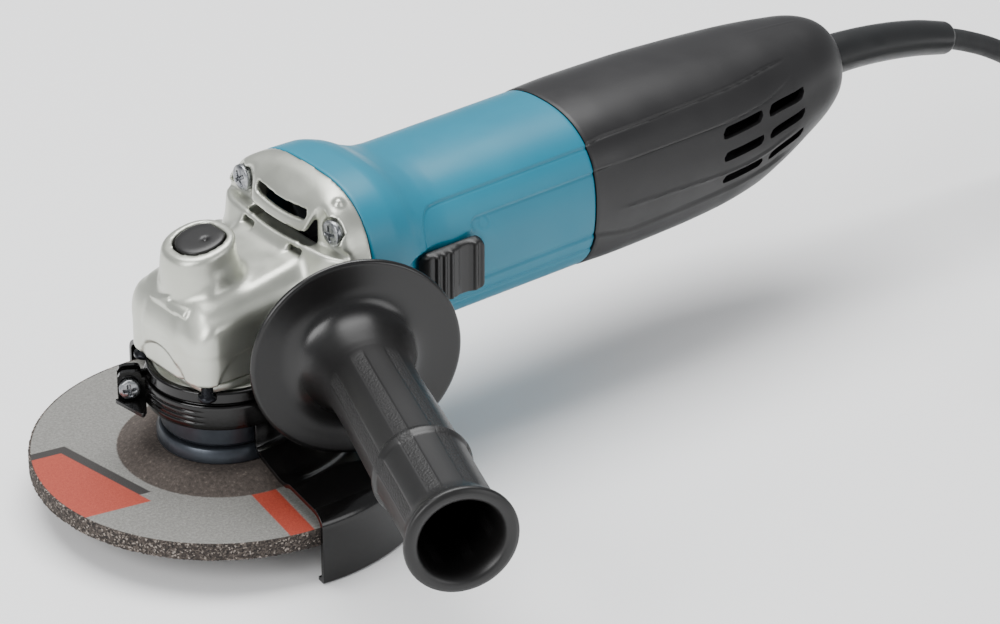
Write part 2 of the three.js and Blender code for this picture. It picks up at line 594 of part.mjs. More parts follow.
// ---------- brushes, above and below the commutator ----------
for (const [name, up] of [['upper', 1], ['lower', -1]]) {
  const span = (low, high) => (up > 0 ? [AXIS + low, AXIS + high] : [AXIS - high, AXIS - low]);
  const holder = cut(box(107.5, 118.5, -5, 5, ...span(13, 25.6)),
    box(109.2, 116.8, -3.3, 3.3, ...span(12, 24)));
  add(`brush_holder_${name}`, holder, brass);
  add(`carbon_brush_${name}`, box(109.5, 116.5, -3, 3, ...span(12.2, 23)), carbon);
}

// ---------- switch ----------
function knob() {
  const plate = box(57, 82, -33, -29.7, KNOB_Z - 9.5, KNOB_Z + 9.5);
  const stem = box(68.4, 76, -30, -25.4, KNOB_Z - 4.1, KNOB_Z + 4.1);
  const ribs = Array.from({ length: 5 }, (_, i) =>
    turned(rod(1.1, KNOB_Z - 9, KNOB_Z + 9), 10).translate([62 + 4 * i, -33, 0]));
  return join(plate, stem, ...ribs);
}
add('switch_knob', knob(), blackPlastic);
add('switch_rod', box(68.4, 150, -25.1, -23.7, KNOB_Z - 3.6, KNOB_Z + 3.6), fanPlastic);

const trayTop = 49.5;
add('rear_tray', join(box(132.5, 206, -17, 17, 47.4, trayTop), box(132.5, 206, 15.4, 17, 47.4, 53)),
  fanPlastic);
add('switch_body', box(151.5, 180, -23.4, -8, trayTop + GAP, 69.8), fanPlastic);
add('cord_clamp', join(box(192, 203, -10, 10, trayTop + GAP, 53), box(193, 202, -10, 10, 52.5, 58)),
  fanPlastic);

// ---------- cord ----------
const guardCurve = new THREE.CatmullRomCurve3([[240, CORD_Z], [252, CORD_Z - 0.2],
  [266, 66.8], [281, 65], [297, 61.8], [312, 57.4]].map(([x, z]) => new THREE.Vector3(x, 0, z)));

// Rings of a round tube whose radius changes along its curve, which stays in the XZ plane.
function taperedTube(curve, radiusAt, steps, sides) {
  return loft(Array.from({ length: steps + 1 }, (_, i) => {
    const t = i / steps;
    const middle = curve.getPointAt(t);
    const along = curve.getTangentAt(t);
    return Array.from({ length: sides }, (__, j) => {
      const angle = (2 * Math.PI * j) / sides;
      const [up, side] = [radiusAt(t) * Math.cos(angle), radiusAt(t) * Math.sin(angle)];
      return [middle.x - up * along.z, side, middle.z + up * along.x];
    });
  }));
}
const sleeve = taperedTube(guardCurve, (t) => 7.65 - 1.9 * t, 8, 14);
const sleeveCollar = turnedX(rod(10.4, 238, 246.6), 16, CORD_Z);
add('cord_guard', join(sleeve, sleeveCollar), rubber);

const cordRoute = [
  [312.6, 0, 57.1], [321.4, -0.2, 53.4], [334, -0.8, 47], [347, -1.7, 38.2], [360, -3.2, 26.8],
  [372, -5.4, 14.4], [384, -9.2, 3.6], [396.5, -16.2, -3.3], [407.5, -26.5, -5.5],
  [414.4, -39.5, -5.4], [416.8, -52, -4.9], [416.8, -62.4, -4.6],
];
const cordCurve = new THREE.CatmullRomCurve3(cordRoute.map((p) => new THREE.Vector3(...p)),
  false, 'centripetal');
add('cord', wire(cordCurve, CORD_R, 8, 12), rubber);

const coilHalf = COIL_COLUMNS * CORD_R;
const coilTop = COIL_LOW + 2 * COIL_LAYERS * CORD_R;
add('cord_coil', turned(ring(COIL_MIDDLE_R - coilHalf, COIL_MIDDLE_R + coilHalf, COIL_LOW,
  coilTop), 40).translate([...COIL_CENTRE, 0]), rubber);

const TIE_AT = 135; // degrees around the coil
const tieInside = box(COIL_MIDDLE_R - coilHalf - 0.4, COIL_MIDDLE_R + coilHalf + 0.4, -4, 4,
  COIL_LOW - GAP, coilTop + GAP);
const tieOutside = box(COIL_MIDDLE_R - coilHalf - 1.4, COIL_MIDDLE_R + coilHalf + 1.4, -2.5, 2.5,
  FLOOR, coilTop + 1.1);
add('cord_tie', cut(tieOutside, tieInside).rotate([0, 0, TIE_AT])
  .translate([...COIL_CENTRE, 0]), blackPlastic);

// The last turn leaves the coil towards the front and ends in the plug.
const tailY = COIL_CENTRE[1] - COIL_MIDDLE_R - coilHalf + CORD_R;
const tailZ = COIL_LOW + 3 * CORD_R;
const TAIL_X = 332.4;
const PLUG_X = 318;
const alongTail = (solid) => solid.translate([0, tailY, 0]);
add('cord_tail', alongTail(turnedX(rod(CORD_R, PLUG_X + GAP, TAIL_X), 10, tailZ)), rubber);
const plugRelief = turnedX([[0, 288], [6.6, 288], [6.2, 300], [4.6, PLUG_X], [0, PLUG_X]], 12, tailZ);
const plugRings = [[258, 16, 11.8], [261, 17.6, 12.5], [280, 16.8, 12.5], [291, 11, 10],
  [297, 7.4, 7.4]].map(([x, halfY, halfZ]) =>
  squircle(halfY, halfZ, 3, 16).map(([y, z]) => [x, y, tailZ + z]));
add('plug', alongTail(join(loft(plugRings), plugRelief)), rubber);
[-9.5, 9.5].forEach((y, i) => {
  const pin = turnedX([[0, 238.7], [1.8, 238.7], [2.4, 239.6], [2.4, 257.7], [0, 257.7]], 10, tailZ);
  add(`plug_pin_${i + 1}`, alongTail(pin).translate([0, y, 0]), brass);
});

export default part;
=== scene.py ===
import json
import math

import bpy
import numpy as np
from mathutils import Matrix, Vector

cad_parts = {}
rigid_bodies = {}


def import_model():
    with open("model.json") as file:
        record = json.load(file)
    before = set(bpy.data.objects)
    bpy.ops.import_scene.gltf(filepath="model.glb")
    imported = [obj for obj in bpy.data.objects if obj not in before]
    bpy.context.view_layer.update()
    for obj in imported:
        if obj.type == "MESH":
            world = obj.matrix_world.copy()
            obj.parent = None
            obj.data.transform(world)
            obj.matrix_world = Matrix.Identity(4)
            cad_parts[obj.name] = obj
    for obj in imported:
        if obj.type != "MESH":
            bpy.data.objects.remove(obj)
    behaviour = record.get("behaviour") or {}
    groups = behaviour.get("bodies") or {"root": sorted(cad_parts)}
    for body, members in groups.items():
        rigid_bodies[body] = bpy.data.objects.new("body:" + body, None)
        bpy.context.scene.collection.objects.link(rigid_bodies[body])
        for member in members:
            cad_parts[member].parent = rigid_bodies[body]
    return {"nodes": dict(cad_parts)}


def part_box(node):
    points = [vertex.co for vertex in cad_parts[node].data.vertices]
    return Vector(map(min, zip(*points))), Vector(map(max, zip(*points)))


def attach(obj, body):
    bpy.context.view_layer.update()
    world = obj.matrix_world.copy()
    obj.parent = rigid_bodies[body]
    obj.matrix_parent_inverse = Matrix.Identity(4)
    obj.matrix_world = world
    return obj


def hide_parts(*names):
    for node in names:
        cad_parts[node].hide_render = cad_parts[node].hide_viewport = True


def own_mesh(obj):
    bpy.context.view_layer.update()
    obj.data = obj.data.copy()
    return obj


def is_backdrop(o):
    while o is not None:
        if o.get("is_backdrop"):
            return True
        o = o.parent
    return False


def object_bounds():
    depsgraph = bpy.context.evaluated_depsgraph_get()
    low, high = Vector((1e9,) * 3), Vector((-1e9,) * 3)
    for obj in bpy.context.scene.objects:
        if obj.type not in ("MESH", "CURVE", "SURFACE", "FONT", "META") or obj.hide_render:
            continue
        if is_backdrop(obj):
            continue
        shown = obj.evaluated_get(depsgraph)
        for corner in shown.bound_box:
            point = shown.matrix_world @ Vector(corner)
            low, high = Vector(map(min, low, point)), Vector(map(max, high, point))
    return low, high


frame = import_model()
cad_box = [list(map(float, corner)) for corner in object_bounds()]
nodes = frame["nodes"]
MM = 0.001


def low(node):
    """The lowest corner of a CAD node, in millimetres."""
    return np.array(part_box(node)[0]) / MM


def high(node):
    """The highest corner of a CAD node, in millimetres."""
    return np.array(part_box(node)[1]) / MM


# %% [markdown]
# The camera comes first. The tool is seen from its front left side and from above: a long lens
# keeps the body's lines nearly parallel, as in a catalogue picture. The camera looks along one
# direction, so its three axes are worked out from an azimuth and an elevation.
# %% Camera
AZIMUTH = math.radians(-38.36)
ELEVATION = math.radians(29.27)
CAMERA_AT = (-0.78652, -1.13699, 0.82916)

camera_data = bpy.data.cameras.new("camera")
camera_data.lens = 180
camera_data.sensor_width = 36
camera = bpy.data.objects.new("camera", camera_data)
bpy.context.scene.collection.objects.link(camera)
camera.location = CAMERA_AT
camera.rotation_euler = (math.pi / 2 - ELEVATION, 0, AZIMUTH)
bpy.context.scene.camera = camera
print("camera at", CAMERA_AT)

# %% [markdown]
# A plain pale floor lies at the height that the tool stands on, and fades into a pale world, so
# the picture has no horizon. Big soft area lights give the long, soft highlights that show how
# round a moulded case is: one overhead, one from the left of the camera, and a low fill.
# %% Floor, world and lights
floor_z = cad_box[0][2] - 0.0002
bpy.ops.mesh.primitive_plane_add(size=14, location=(0.1, 0, floor_z))
floor = bpy.context.object
floor.name = "floor"
floor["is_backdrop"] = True
floor_paint = bpy.data.materials.new("floor_paper")
floor_paint.use_nodes = True
floor_shader = floor_paint.node_tree.nodes["Principled BSDF"]
floor_shader.inputs["Base Color"].default_value = (0.95, 0.95, 0.95, 1)
floor_shader.inputs["Roughness"].default_value = 0.9
floor_shader.inputs["Specular IOR Level"].default_value = 0.1
floor.data.materials.append(floor_paint)

world = bpy.data.worlds.new("studio")
world.use_nodes = True
background = world.node_tree.nodes["Background"]
background.inputs["Color"].default_value = (0.95, 0.97, 1.0, 1)
background.inputs["Strength"].default_value = 0.5
bpy.context.scene.world = world


def soft_box(name, at, aim, width, height, watts):
    """A rectangular area light at a point, turned so that its face looks at the aim point."""
    data = bpy.data.lights.new(name, "AREA")
    data.shape = "RECTANGLE"
    data.size, data.size_y, data.energy = width, height, watts
    lamp = bpy.data.objects.new(name, data)
    lamp.location = at
    lamp.rotation_euler = (Vector(aim) - Vector(at)).to_track_quat("-Z", "Y").to_euler()
    bpy.context.scene.collection.objects.link(lamp)


AIM = (0.1, 0, 0.05)
soft_box("overhead_box", (0.15, 0.25, 1.1), AIM, 1.1, 0.7, 21)
soft_box("left_box", (-1.2, -0.25, 0.75), AIM, 0.7, 0.9, 15)
soft_box("front_fill", (0.5, -1.4, 0.5), AIM, 0.9, 0.5, 5)
print("floor at", round(floor_z / MM, 2), "mm, 3 soft boxes")

# %% [markdown]
# Every new piece below is a grid of points: rows along one parameter, columns along the other.
# One function turns such a grid into a mesh. It can join the last column to the first (a tube),
# the last row to the first (a closed shell with an inner and an outer wall), and close an end
# with a fan of triangles, or with one flat polygon where the outline isn't convex. If the
# volume that the faces enclose comes out negative, they point inwards, so all are flipped.
# %% Grid to mesh
def new_object(name, points, faces, smooth=True):
    """Points in millimetres and a list of face index arrays become an object at the origin."""
    mesh = bpy.data.meshes.new(name)
    mesh.from_pydata((np.asarray(points, float) * MM).tolist(), [], faces)
    mesh.polygons.foreach_set("use_smooth", [smooth] * len(mesh.polygons))
    mesh.update()
    piece = bpy.data.objects.new(name, mesh)
    bpy.context.scene.collection.objects.link(piece)
    return piece


def surface(name, grid, tube=True, shell=False, ends=(False, False), smooth=True):
    """Quads between neighbouring points of a (rows, columns, 3) grid.

    Signed volume = sum over corners of a . (b x c) / 6 over the faces' triangles.
    """
    grid = np.asarray(grid, float)
    rows, columns = grid.shape[:2]
    points = grid.reshape(-1, 3)
    index = np.arange(rows * columns).reshape(rows, columns)
    along = np.vstack([index, index[:1]]) if shell else index
    around = np.hstack([along, along[:, :1]]) if tube else along
    quads = np.stack([around[:-1, :-1], around[:-1, 1:], around[1:, 1:], around[1:, :-1]], -1)
    faces = [quads.reshape(-1, 4)]
    for row, wanted, turn in ((0, ends[0], -1), (-1, ends[1], 1)):
        if wanted == "flat":
            faces.append(index[row][::turn][None])
        elif wanted:
            middle = len(points)
            points = np.vstack([points, points[index[row]].mean(0)])
            ring = index[row][::turn]
            faces.append(np.stack([ring, np.roll(ring, -1), np.full_like(ring, middle)], -1))
    fans = [block for block in faces[1:] if block.shape[1] == 3]
    triangles = np.vstack([faces[0][:, [0, 1, 2]], faces[0][:, [0, 2, 3]], *fans])
    a, b, c = (points[triangles[:, k]] for k in range(3))
    if np.einsum("ij,ij->", a, np.cross(b, c)) < 0:
        faces = [block[:, ::-1] for block in faces]
    return new_object(name, points, sum((block.tolist() for block in faces), []), smooth)


def finish(piece, body, slot, material, *replaced):
    """Gives a piece its material and its CAD body, and hides the CAD nodes it stands for. The slot
    is not used.
    """
    piece.data.materials.clear()
    piece.data.materials.append(material)
    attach(piece, body)
    if replaced:
        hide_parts(*replaced)
    piece.data.calc_loop_triangles()
    print(piece.name, "has", len(piece.data.loop_triangles), "triangles")
    return piece


def ease_edges(piece, name, width_mm, crease=30):
    """A two-step bevel on the edges that turn by more than the crease angle, in degrees."""
    ease = piece.modifiers.new(name, "BEVEL")
    ease.width, ease.segments, ease.limit_method = width_mm * MM, 2, "ANGLE"
    ease.angle_limit = math.radians(crease)


def bump(low_edge, high_edge, x):
    """A smooth step: 0 below the low edge, 1 above the high one, 3t^2 - 2t^3 between them."""
    t = np.clip((x - low_edge) / (high_edge - low_edge), 0, 1)
    return t * t * (3 - 2 * t)


# %% [markdown]
# A finish is a node tree. One small function adds a node: a value that is itself a socket gets
# linked, any other value is set on the socket. Colours are written as the sRGB hex codes that
# a paint chart gives, and turn to the linear light that the shader computes with.
# %% Material helpers
def linear(code):
    """sRGB hex to linear: ((c + 0.055) / 1.055) ** 2.4 for each channel above 0.04045."""
    c = np.array([int(code[k:k + 2], 16) for k in (1, 3, 5)]) / 255
    c = np.where(c > 0.04045, ((c + 0.055) / 1.055) ** 2.4, c / 12.92)
    return (*map(float, c), 1.0)


def put(tree, kind, inputs=(), output=0, stops=(), **properties):
    """Adds one node with its properties, inputs and colour stops, and returns an output."""
    node = tree.nodes.new(kind)
    for key, value in properties.items():
        setattr(node, key, value)
    for key, value in dict(inputs).items():
        if isinstance(value, bpy.types.NodeSocket):
            tree.links.new(value, node.inputs[key])
        else:
            node.inputs[key].default_value = value
    for number, (position, code) in enumerate(stops):
        elements = node.color_ramp.elements
        while len(elements) < len(stops):
            elements.new(0.5)
        elements[number].position, elements[number].color = position, linear(code)
    return node.outputs[output]


def new_finish(name, code, roughness, **sockets):
    """A Principled material: returns it with its tree, its shader and the object coordinates."""
    material = bpy.data.materials.new(name)
    material.use_nodes = True
    tree = material.node_tree
    shader = tree.nodes["Principled BSDF"]
    shader.inputs["Base Color"].default_value = linear(code)
    shader.inputs["Roughness"].default_value = roughness
    for key, value in sockets.items():
        shader.inputs[key.replace("_", " ")].default_value = value
    where = put(tree, "ShaderNodeTexCoord", output="Object")
    return material, tree, shader, where


def grain(tree, shader, height, depth_mm, strength=1.0, below=None):
    """Bump from a height between 0 and 1 that stands for depth_mm of real relief."""
    inputs = {"Height": height, "Distance": depth_mm * MM, "Strength": strength}
    if below is not None:
        inputs["Normal"] = below
    normal = put(tree, "ShaderNodeBump", inputs)
    tree.links.new(normal, shader.inputs["Normal"])
    return normal


def wander(tree, shader, where, tone=(), sheen=(), tooth=()):
    """Lets colour, gloss and height wander, each over a noise of scale 1000 / size per metre.

    tone is (mm, detail, (place, hex), (place, hex)), sheen is (mm, detail, least, most
    roughness), and each row of tooth is (mm, detail, depth in mm), from coarse to fine.
    """
    relief = None
    for part, row in [("tone", tone), ("sheen", sheen), *(("tooth", row) for row in tooth)]:
        if not row:
            continue
        size_mm, detail, *rest = row
        blotches = put(tree, "ShaderNodeTexNoise", {"Vector": where, "Scale": 1000 / size_mm,
                                                    "Detail": detail})
        if part == "tone":
            colour = put(tree, "ShaderNodeValToRGB", {"Fac": blotches}, stops=rest)
            tree.links.new(colour, shader.inputs["Base Color"])
        elif part == "sheen":
            dulling = put(tree, "ShaderNodeMapRange", {"Value": blotches, "From Min": 0.3,
                          "From Max": 0.7, "To Min": rest[0], "To Max": rest[1]})
            tree.links.new(dulling, shader.inputs["Roughness"])
        else:
            relief = grain(tree, shader, blotches, rest[0], below=relief)
    return relief


def plain_finish(name, code, roughness, tone=(), sheen=(), tooth=(), **sockets):
    """A whole finish made of a Principled shader and what wanders on it."""
    material, tree, shader, where = new_finish(name, code, roughness, **sockets)
    wander(tree, shader, where, tone, sheen, tooth)
    return material

# %% [markdown]
# ## Mains lead
# The lead is a fixed length of stiff round flex, 7.6 mm thick. It leaves the rubber sleeve
# pointing slightly down, sinks to the floor in one loose curve, and the spare length is wound
# into a flat coil of two layers behind the tool, held by a tie, as it is stored. It could be a
# bevelled curve, but a swept grid keeps the turns exactly a diameter apart and the path is
# known point by point.
# %% Lead route
CORD_R = 3.8
COIL_X, COIL_Y = 362.0, -92.0
LAYER_LOW = -4.6
PITCH = 2 * CORD_R
OUTER_TURN = 54.8
loose = np.array([
    [312.6, 0, 57.1], [321.4, -0.2, 53.4], [334, -0.8, 47], [347, -1.7, 38.2], [360, -3.2, 26.8],
    [372, -5.4, 14.4], [384, -9.2, 3.6], [396.5, -16.2, -3.3], [407.5, -26.5, -5.5],
    [414.4, -39.5, -5.4], [416.8, -52, -4.9], [416.8, -62.4, -4.6],
])


def smooth_path(points, step):
    """A centripetal Catmull-Rom curve through the points, at even steps of length.

    Each knot is placed the square root of the chord further on, which keeps bends round.
    """
    p = np.vstack([2 * points[0] - points[1], points, 2 * points[-1] - points[-2]])
    knots = np.cumsum(np.r_[0, np.sqrt(np.linalg.norm(np.diff(p, axis=0), axis=1))])
    pieces = []
    for i in range(1, len(p) - 2):
        t = np.linspace(knots[i], knots[i + 1], 60, endpoint=False)[:, None]
        k = knots[i - 1:i + 3]
        a = [(k[j + 1] - t) / (k[j + 1] - k[j]) * p[i - 1 + j]
             + (t - k[j]) / (k[j + 1] - k[j]) * p[i + j] for j in range(3)]
        b = [(k[j + 2] - t) / (k[j + 2] - k[j]) * a[j]
             + (t - k[j]) / (k[j + 2] - k[j]) * a[j + 1] for j in range(2)]
        pieces.append((k[2] - t) / (k[2] - k[1]) * b[0] + (t - k[1]) / (k[2] - k[1]) * b[1])
    return even_steps(np.vstack([*pieces, p[-2:-1]]), step)


def even_steps(line, step):
    """The same line with its points a fixed length apart."""
    travelled = np.r_[0, np.cumsum(np.linalg.norm(np.diff(line, axis=0), axis=1))]
    at = np.linspace(0, travelled[-1], max(2, int(round(travelled[-1] / step))) + 1)
    return np.stack([np.interp(at, travelled, line[:, k]) for k in range(3)], 1)


SHIFT_IN, SHIFT_OUT, RISE = np.array([185, 235]), np.array([95, 145]), (1230, 1260)
LAST_ANGLE = 2610
wound = np.arange(0, LAST_ANGLE + 1, 3.0)
radius = np.full_like(wound, OUTER_TURN)
for turn in range(3):
    radius -= PITCH * bump(*(SHIFT_IN + 360 * turn), wound)
    radius += PITCH * bump(*(SHIFT_OUT + 360 * (turn + 4)), wound)
coil_z = LAYER_LOW + PITCH * bump(*RISE, wound)
angle = np.radians(wound)
coil = np.stack([COIL_X + radius * np.cos(angle), COIL_Y - radius * np.sin(angle), coil_z], 1)
TAIL_END = 318.3
tail_y = COIL_Y - OUTER_TURN
tail = np.array([[TAIL_END, tail_y, LAYER_LOW + PITCH]])
lead_in = np.linspace([416.8, -64, LAYER_LOW], [416.8, -90, LAYER_LOW], 8)
LEAD_STEP = 2.0
lead_route = np.vstack([smooth_path(loose, LEAD_STEP), lead_in, coil, tail])
lead_path = even_steps(lead_route, LEAD_STEP)


# %% Sweep a section along a path
def swept(path, section_radius, sides, up=(0, 0, 1)):
    """Circles of the given radius around each point of a path.

    The section's frame is side = along x up and rise = side x along, with along the path's
    direction, so it never twists while the path isn't vertical.
    """
    along = np.gradient(path, axis=0)
    along /= np.linalg.norm(along, axis=1)[:, None]
    side = np.cross(along, up)
    side /= np.linalg.norm(side, axis=1)[:, None]
    rise = np.cross(side, along)
    angle = np.linspace(0, 2 * np.pi, sides, endpoint=False)[None, :, None]
    reach = np.broadcast_to(np.asarray(section_radius, float), (len(path),))[:, None, None]
    ring = side[:, None] * np.cos(angle) + rise[:, None] * np.sin(angle)
    return path[:, None] + reach * ring


lead = surface("mains_lead", swept(lead_path, CORD_R, 16), ends=(True, True))

# %% [markdown]
# The jacket is soft black rubber: it is matt, with a very fine tooth from the extruder and a
# trace of dust that lightens it in patches.
# %% Jacket rubber
jacket = plain_finish("black_jacket_rubber", "#18191a", 0.62,
                      tone=(22, 3, (0.3, "#151617"), (0.75, "#1f2021")),
                      sheen=(6, 2, 0.5, 0.68), tooth=[(0.6, 3, 0.03)])
finish(lead, "housing", "cord_rubber", jacket, "cord", "cord_coil", "cord_tail")

# %% [markdown]
# ## Plug
# A moulded two-pin plug: a flat body with rounded edges that narrows into a ribbed strain relief.
# The body is a row of squircles, |y/a|^p + |z/b|^p = 1, whose half sizes and power change along
# the lead. Finger ridges are a small wave added to the half width.
# %% Plug
def squircle(half_a, half_b, power, angle):
    """Points of |a/half_a|^power + |b/half_b|^power = 1 at each angle, as two arrays."""
    c, s = np.cos(angle), np.sin(angle)
    a = half_a * np.sign(c) * np.abs(c) ** (2 / power)
    b = half_b * np.sign(s) * np.abs(s) ** (2 / power)
    return a, b


def stations(table, at):
    """Reads a table of [place, value, ...] rows at new places: smooth monotone curves between.

    Each column is a cubic Hermite curve whose slopes are the harmonic mean of the slopes on
    either side, or 0 where they differ in sign, so that it never overshoots its rows.
    """
    table = np.array(table, float)
    x, y = table[:, 0], table[:, 1:]
    h = np.diff(x)
    d = np.diff(y, axis=0) / h[:, None]
    m = np.zeros_like(y)
    m[0], m[-1] = d[0], d[-1]
    same = d[:-1] * d[1:] > 0
    total = np.where(same, d[:-1] + d[1:], 1)
    m[1:-1] = np.where(same, 2 * d[:-1] * d[1:] / total, 0)
    at = np.clip(at, x[0], x[-1])
    k = np.clip(np.searchsorted(x, at, side="right") - 1, 0, len(h) - 1)
    t, step = ((at - x[k]) / h[k])[:, None], h[k][:, None]
    return ((1 + 2 * t) * (1 - t) ** 2 * y[k] + t * (1 - t) ** 2 * step * m[k]
            + t * t * (3 - 2 * t) * y[k + 1] + t * t * (t - 1) * step * m[k + 1])


tail_z = LAYER_LOW + PITCH
plug_table = [
    [258, 14.5, 10.3, 3], [258.6, 15.9, 11.7, 3], [261, 17.5, 12.4, 3.2], [272, 17.2, 12.4, 3.2],
    [280, 16.6, 12.2, 3], [287, 13.6, 11.2, 2.7], [293, 8.8, 8.6, 2.3], [296, 6.9, 6.9, 2],
    [300, 6.3, 6.3, 2], [317.6, 4.7, 4.7, 2], [318, 4.3, 4.3, 2],
]
plug_x = np.r_[np.linspace(258, 262, 14), np.linspace(262.6, 318, 150)]
shape = stations(plug_table, plug_x)
ridges = bump(276, 279, plug_x) * (1 - bump(288, 291, plug_x)) * np.sin(plug_x * 2 * np.pi / 3)
sleeve_ribs = bump(297, 299, plug_x) * (1 - bump(315, 317, plug_x))
sleeve_ribs = sleeve_ribs * np.where(np.sin(plug_x * 2 * np.pi / 3.4) > 0.1, 0, -0.9)
around = np.linspace(0, 2 * np.pi, 72, endpoint=False)
plug_y, plug_z = squircle((shape[:, 0] + 0.45 * ridges + sleeve_ribs)[:, None],
                          (shape[:, 1] + sleeve_ribs)[:, None], shape[:, 2][:, None], around)
plug_grid = np.stack([np.broadcast_to(plug_x[:, None], plug_y.shape), tail_y + plug_y,
                      tail_z + plug_z], -1)
plug = surface("mains_plug", plug_grid, ends=(True, True))
plug_rubber = plain_finish("moulded_plug_rubber", "#161718", 0.5, tooth=[(0.8, 3, 0.03)])
finish(plug, "housing", "cord_rubber", plug_rubber, "plug")

# %% [markdown]
# A nylon strap holds the coil. It is a flat band, 5 mm wide, that goes round the bundle's
# rounded rectangle: a squircle in the bundle's cross-section, swept through its width, with an
# inner wall so that it has a thickness.
# %% Coil strap
tie_middle = (low("cord_tie") + high("cord_tie")) / 2
tie_out = math.atan2(tie_middle[1] - COIL_Y, tie_middle[0] - COIL_X)
bundle_r = math.hypot(tie_middle[0] - COIL_X, tie_middle[1] - COIL_Y)
strap_half = [4 * CORD_R + 1.2, (high("cord_tie")[2] - low("cord_tie")[2]) / 2]
STRAP_WIDE, STRAP_THICK = 2.5, 1.0
loop = np.linspace(0, 2 * np.pi, 96, endpoint=False)
walls = []
for inset, width in ((0, -1), (0, 1), (STRAP_THICK, 1), (STRAP_THICK, -1)):
    across, rise = squircle(strap_half[0] - inset, strap_half[1] - inset, 8, loop)
    outward, sideways = bundle_r + across, np.full_like(loop, width * STRAP_WIDE)
    walls.append(np.stack([
        COIL_X + outward * math.cos(tie_out) - sideways * math.sin(tie_out),
        COIL_Y + outward * math.sin(tie_out) + sideways * math.cos(tie_out),
        tie_middle[2] + rise], 1))
strap = surface("coil_strap", np.array(walls), shell=True, smooth=False)
nylon = plain_finish("black_nylon", "#131415", 0.42, tooth=[(1.2, 2, 0.03)])
finish(strap, "housing", "black_plastic", nylon, "cord_tie")



def coat(members, material):
    """Gives CAD nodes that are carried over their finish."""
    for member in members:
        nodes[member].data.materials.clear()
        nodes[member].data.materials.append(material)


brass_pin = plain_finish("nickel_plated_brass", "#c9c2ae", 0.26, sheen=(3, 2, 0.2, 0.34),
                         Metallic=1.0)
coat(["plug_pin_1", "plug_pin_2"], brass_pin)

# %% [markdown]
# ## Gear housing
# The head is one aluminium die casting: flowing forms that melt into each other with soft
# fillets, which is what molten metal needs to fill a mould. Lofts and booleans would leave hard
# seams where the forms meet, and rounding those by hand is long work. So this casting is a
# solid described by a field: at each point of a fine grid, how far outside the metal the point
# lies. A union is the smaller of two fields, a cut is the larger of one and minus the other,
# and a smooth version of "smaller" rounds the joint with a fillet of a chosen size. The skin is
# then found where the field is zero.
# %% Field helpers
def blend_min(a, b, fillet):
    """The smaller of two fields, with their meeting rounded over a fillet's width.

    With h = 0.5 + (b - a) / (2 fillet) held in 0..1, it is b + (a - b) h - fillet h (1 - h).
    """
    h = np.clip(0.5 + 0.5 * (b - a) / fillet, 0, 1)
    return b + (a - b) * h - fillet * h * (1 - h)


def blend_max(a, b, fillet):
    """The larger of two fields, rounded in the same way."""
    return -blend_min(-a, -b, fillet)


def slab(value, lowest, highest):
    """Distance outside the range from lowest to highest."""
    return np.maximum(lowest - value, value - highest)


def skin(name, field, origin, step):
    """Surface nets: the mesh where a field on a cubic grid crosses zero.

    Each cell that the surface enters gets one point, the mean of the places where the cell's
    edges cross zero, and each crossed edge gets a quad between the four cells around it.
    """
    total = np.zeros((*(np.array(field.shape) - 1), 4))
    crossings = []
    for axis in range(3):
        first, second = [slice(None)] * 3, [slice(None)] * 3
        first[axis], second[axis] = slice(None, -1), slice(1, None)
        before, after = field[tuple(first)], field[tuple(second)]
        at = np.argwhere((before < 0) != (after < 0))
        start, stop = before[tuple(at.T)], after[tuple(at.T)]
        place = at.astype(float)
        place[:, axis] += start / (start - stop)
        u, v = [k for k in range(3) if k != axis]
        cells = np.repeat(at[:, None], 4, axis=1)
        cells[:, [0, 3], u] -= 1
        cells[:, [0, 1], v] -= 1
        for corner in range(4):
            np.add.at(total, tuple(cells[:, corner].T), np.c_[place, np.ones(len(place))])
        flip = (start < 0) != (axis == 1)
        cells[flip] = cells[flip][:, ::-1]
        crossings.append(cells.reshape(-1, 3))
    used = total[..., 3] > 0
    number = np.cumsum(used.ravel()).reshape(used.shape) - 1
    points = total[used][:, :3] / total[used][:, 3:] * step + np.array(origin)
    quads = number[tuple(np.concatenate(crossings).T)].reshape(-1, 4)
    triangles = np.vstack([quads[:, [0, 1, 2]], quads[:, [0, 2, 3]]])
    a, b, c = (points[triangles[:, k]] for k in range(3))
    if np.einsum("ij,ij->", a, np.cross(b, c)) < 0:
        quads = quads[:, ::-1]
    return new_object(name, points, quads.tolist())


# %% [markdown]
# The places of the head's features come from the CAD pieces that sit in it: the motor axis from
# the shaft, the lock button and its pin, and the four screws. The handle's place is given as
# numbers.
# %% Places in the head
STEP = 0.6
UNDERSIDE = 43.5
DISC_NEAR, DISC_FAR = -24, -6.3
axis_z = (low("armature_shaft")[2] + high("armature_shaft")[2]) / 2
flange_end = high("gear_housing")[0]
head_low = low("gear_housing")
head_high = high("gear_housing")
screw_reach = (high("housing_screw_1")[1] + low("housing_screw_1")[1]) / 2
HANDLE_LEAN = math.radians(21)
handle_out = np.array([-math.sin(HANDLE_LEAN), -math.cos(HANDLE_LEAN), 0])
handle_disc = np.array([21, -44, 51.9])
button_x = (low("lock_button")[0] + high("lock_button")[0]) / 2 + 0.7
pin_x = (low("lock_pin")[0] + high("lock_pin")[0]) / 2
print("motor axis", axis_z, "screws at", screw_reach, "button at", button_x)


# %% The head's field
def grid_axis(first, last):
    """Evenly spaced places from a step before the first to a step after the last."""
    return np.arange(first - 2 * STEP, last + 2.5 * STEP, STEP)


X, Y, Z = np.meshgrid(grid_axis(head_low[0] - 1, head_high[0]),
                      grid_axis(head_low[1] - 0.5, head_high[1] + 0.5),
                      grid_axis(head_low[2] - 0.5, head_high[2] + 1), indexing="ij", sparse=True)
side = np.abs(Y)
print("grid", X.size, "x", Y.size, "x", Z.size)


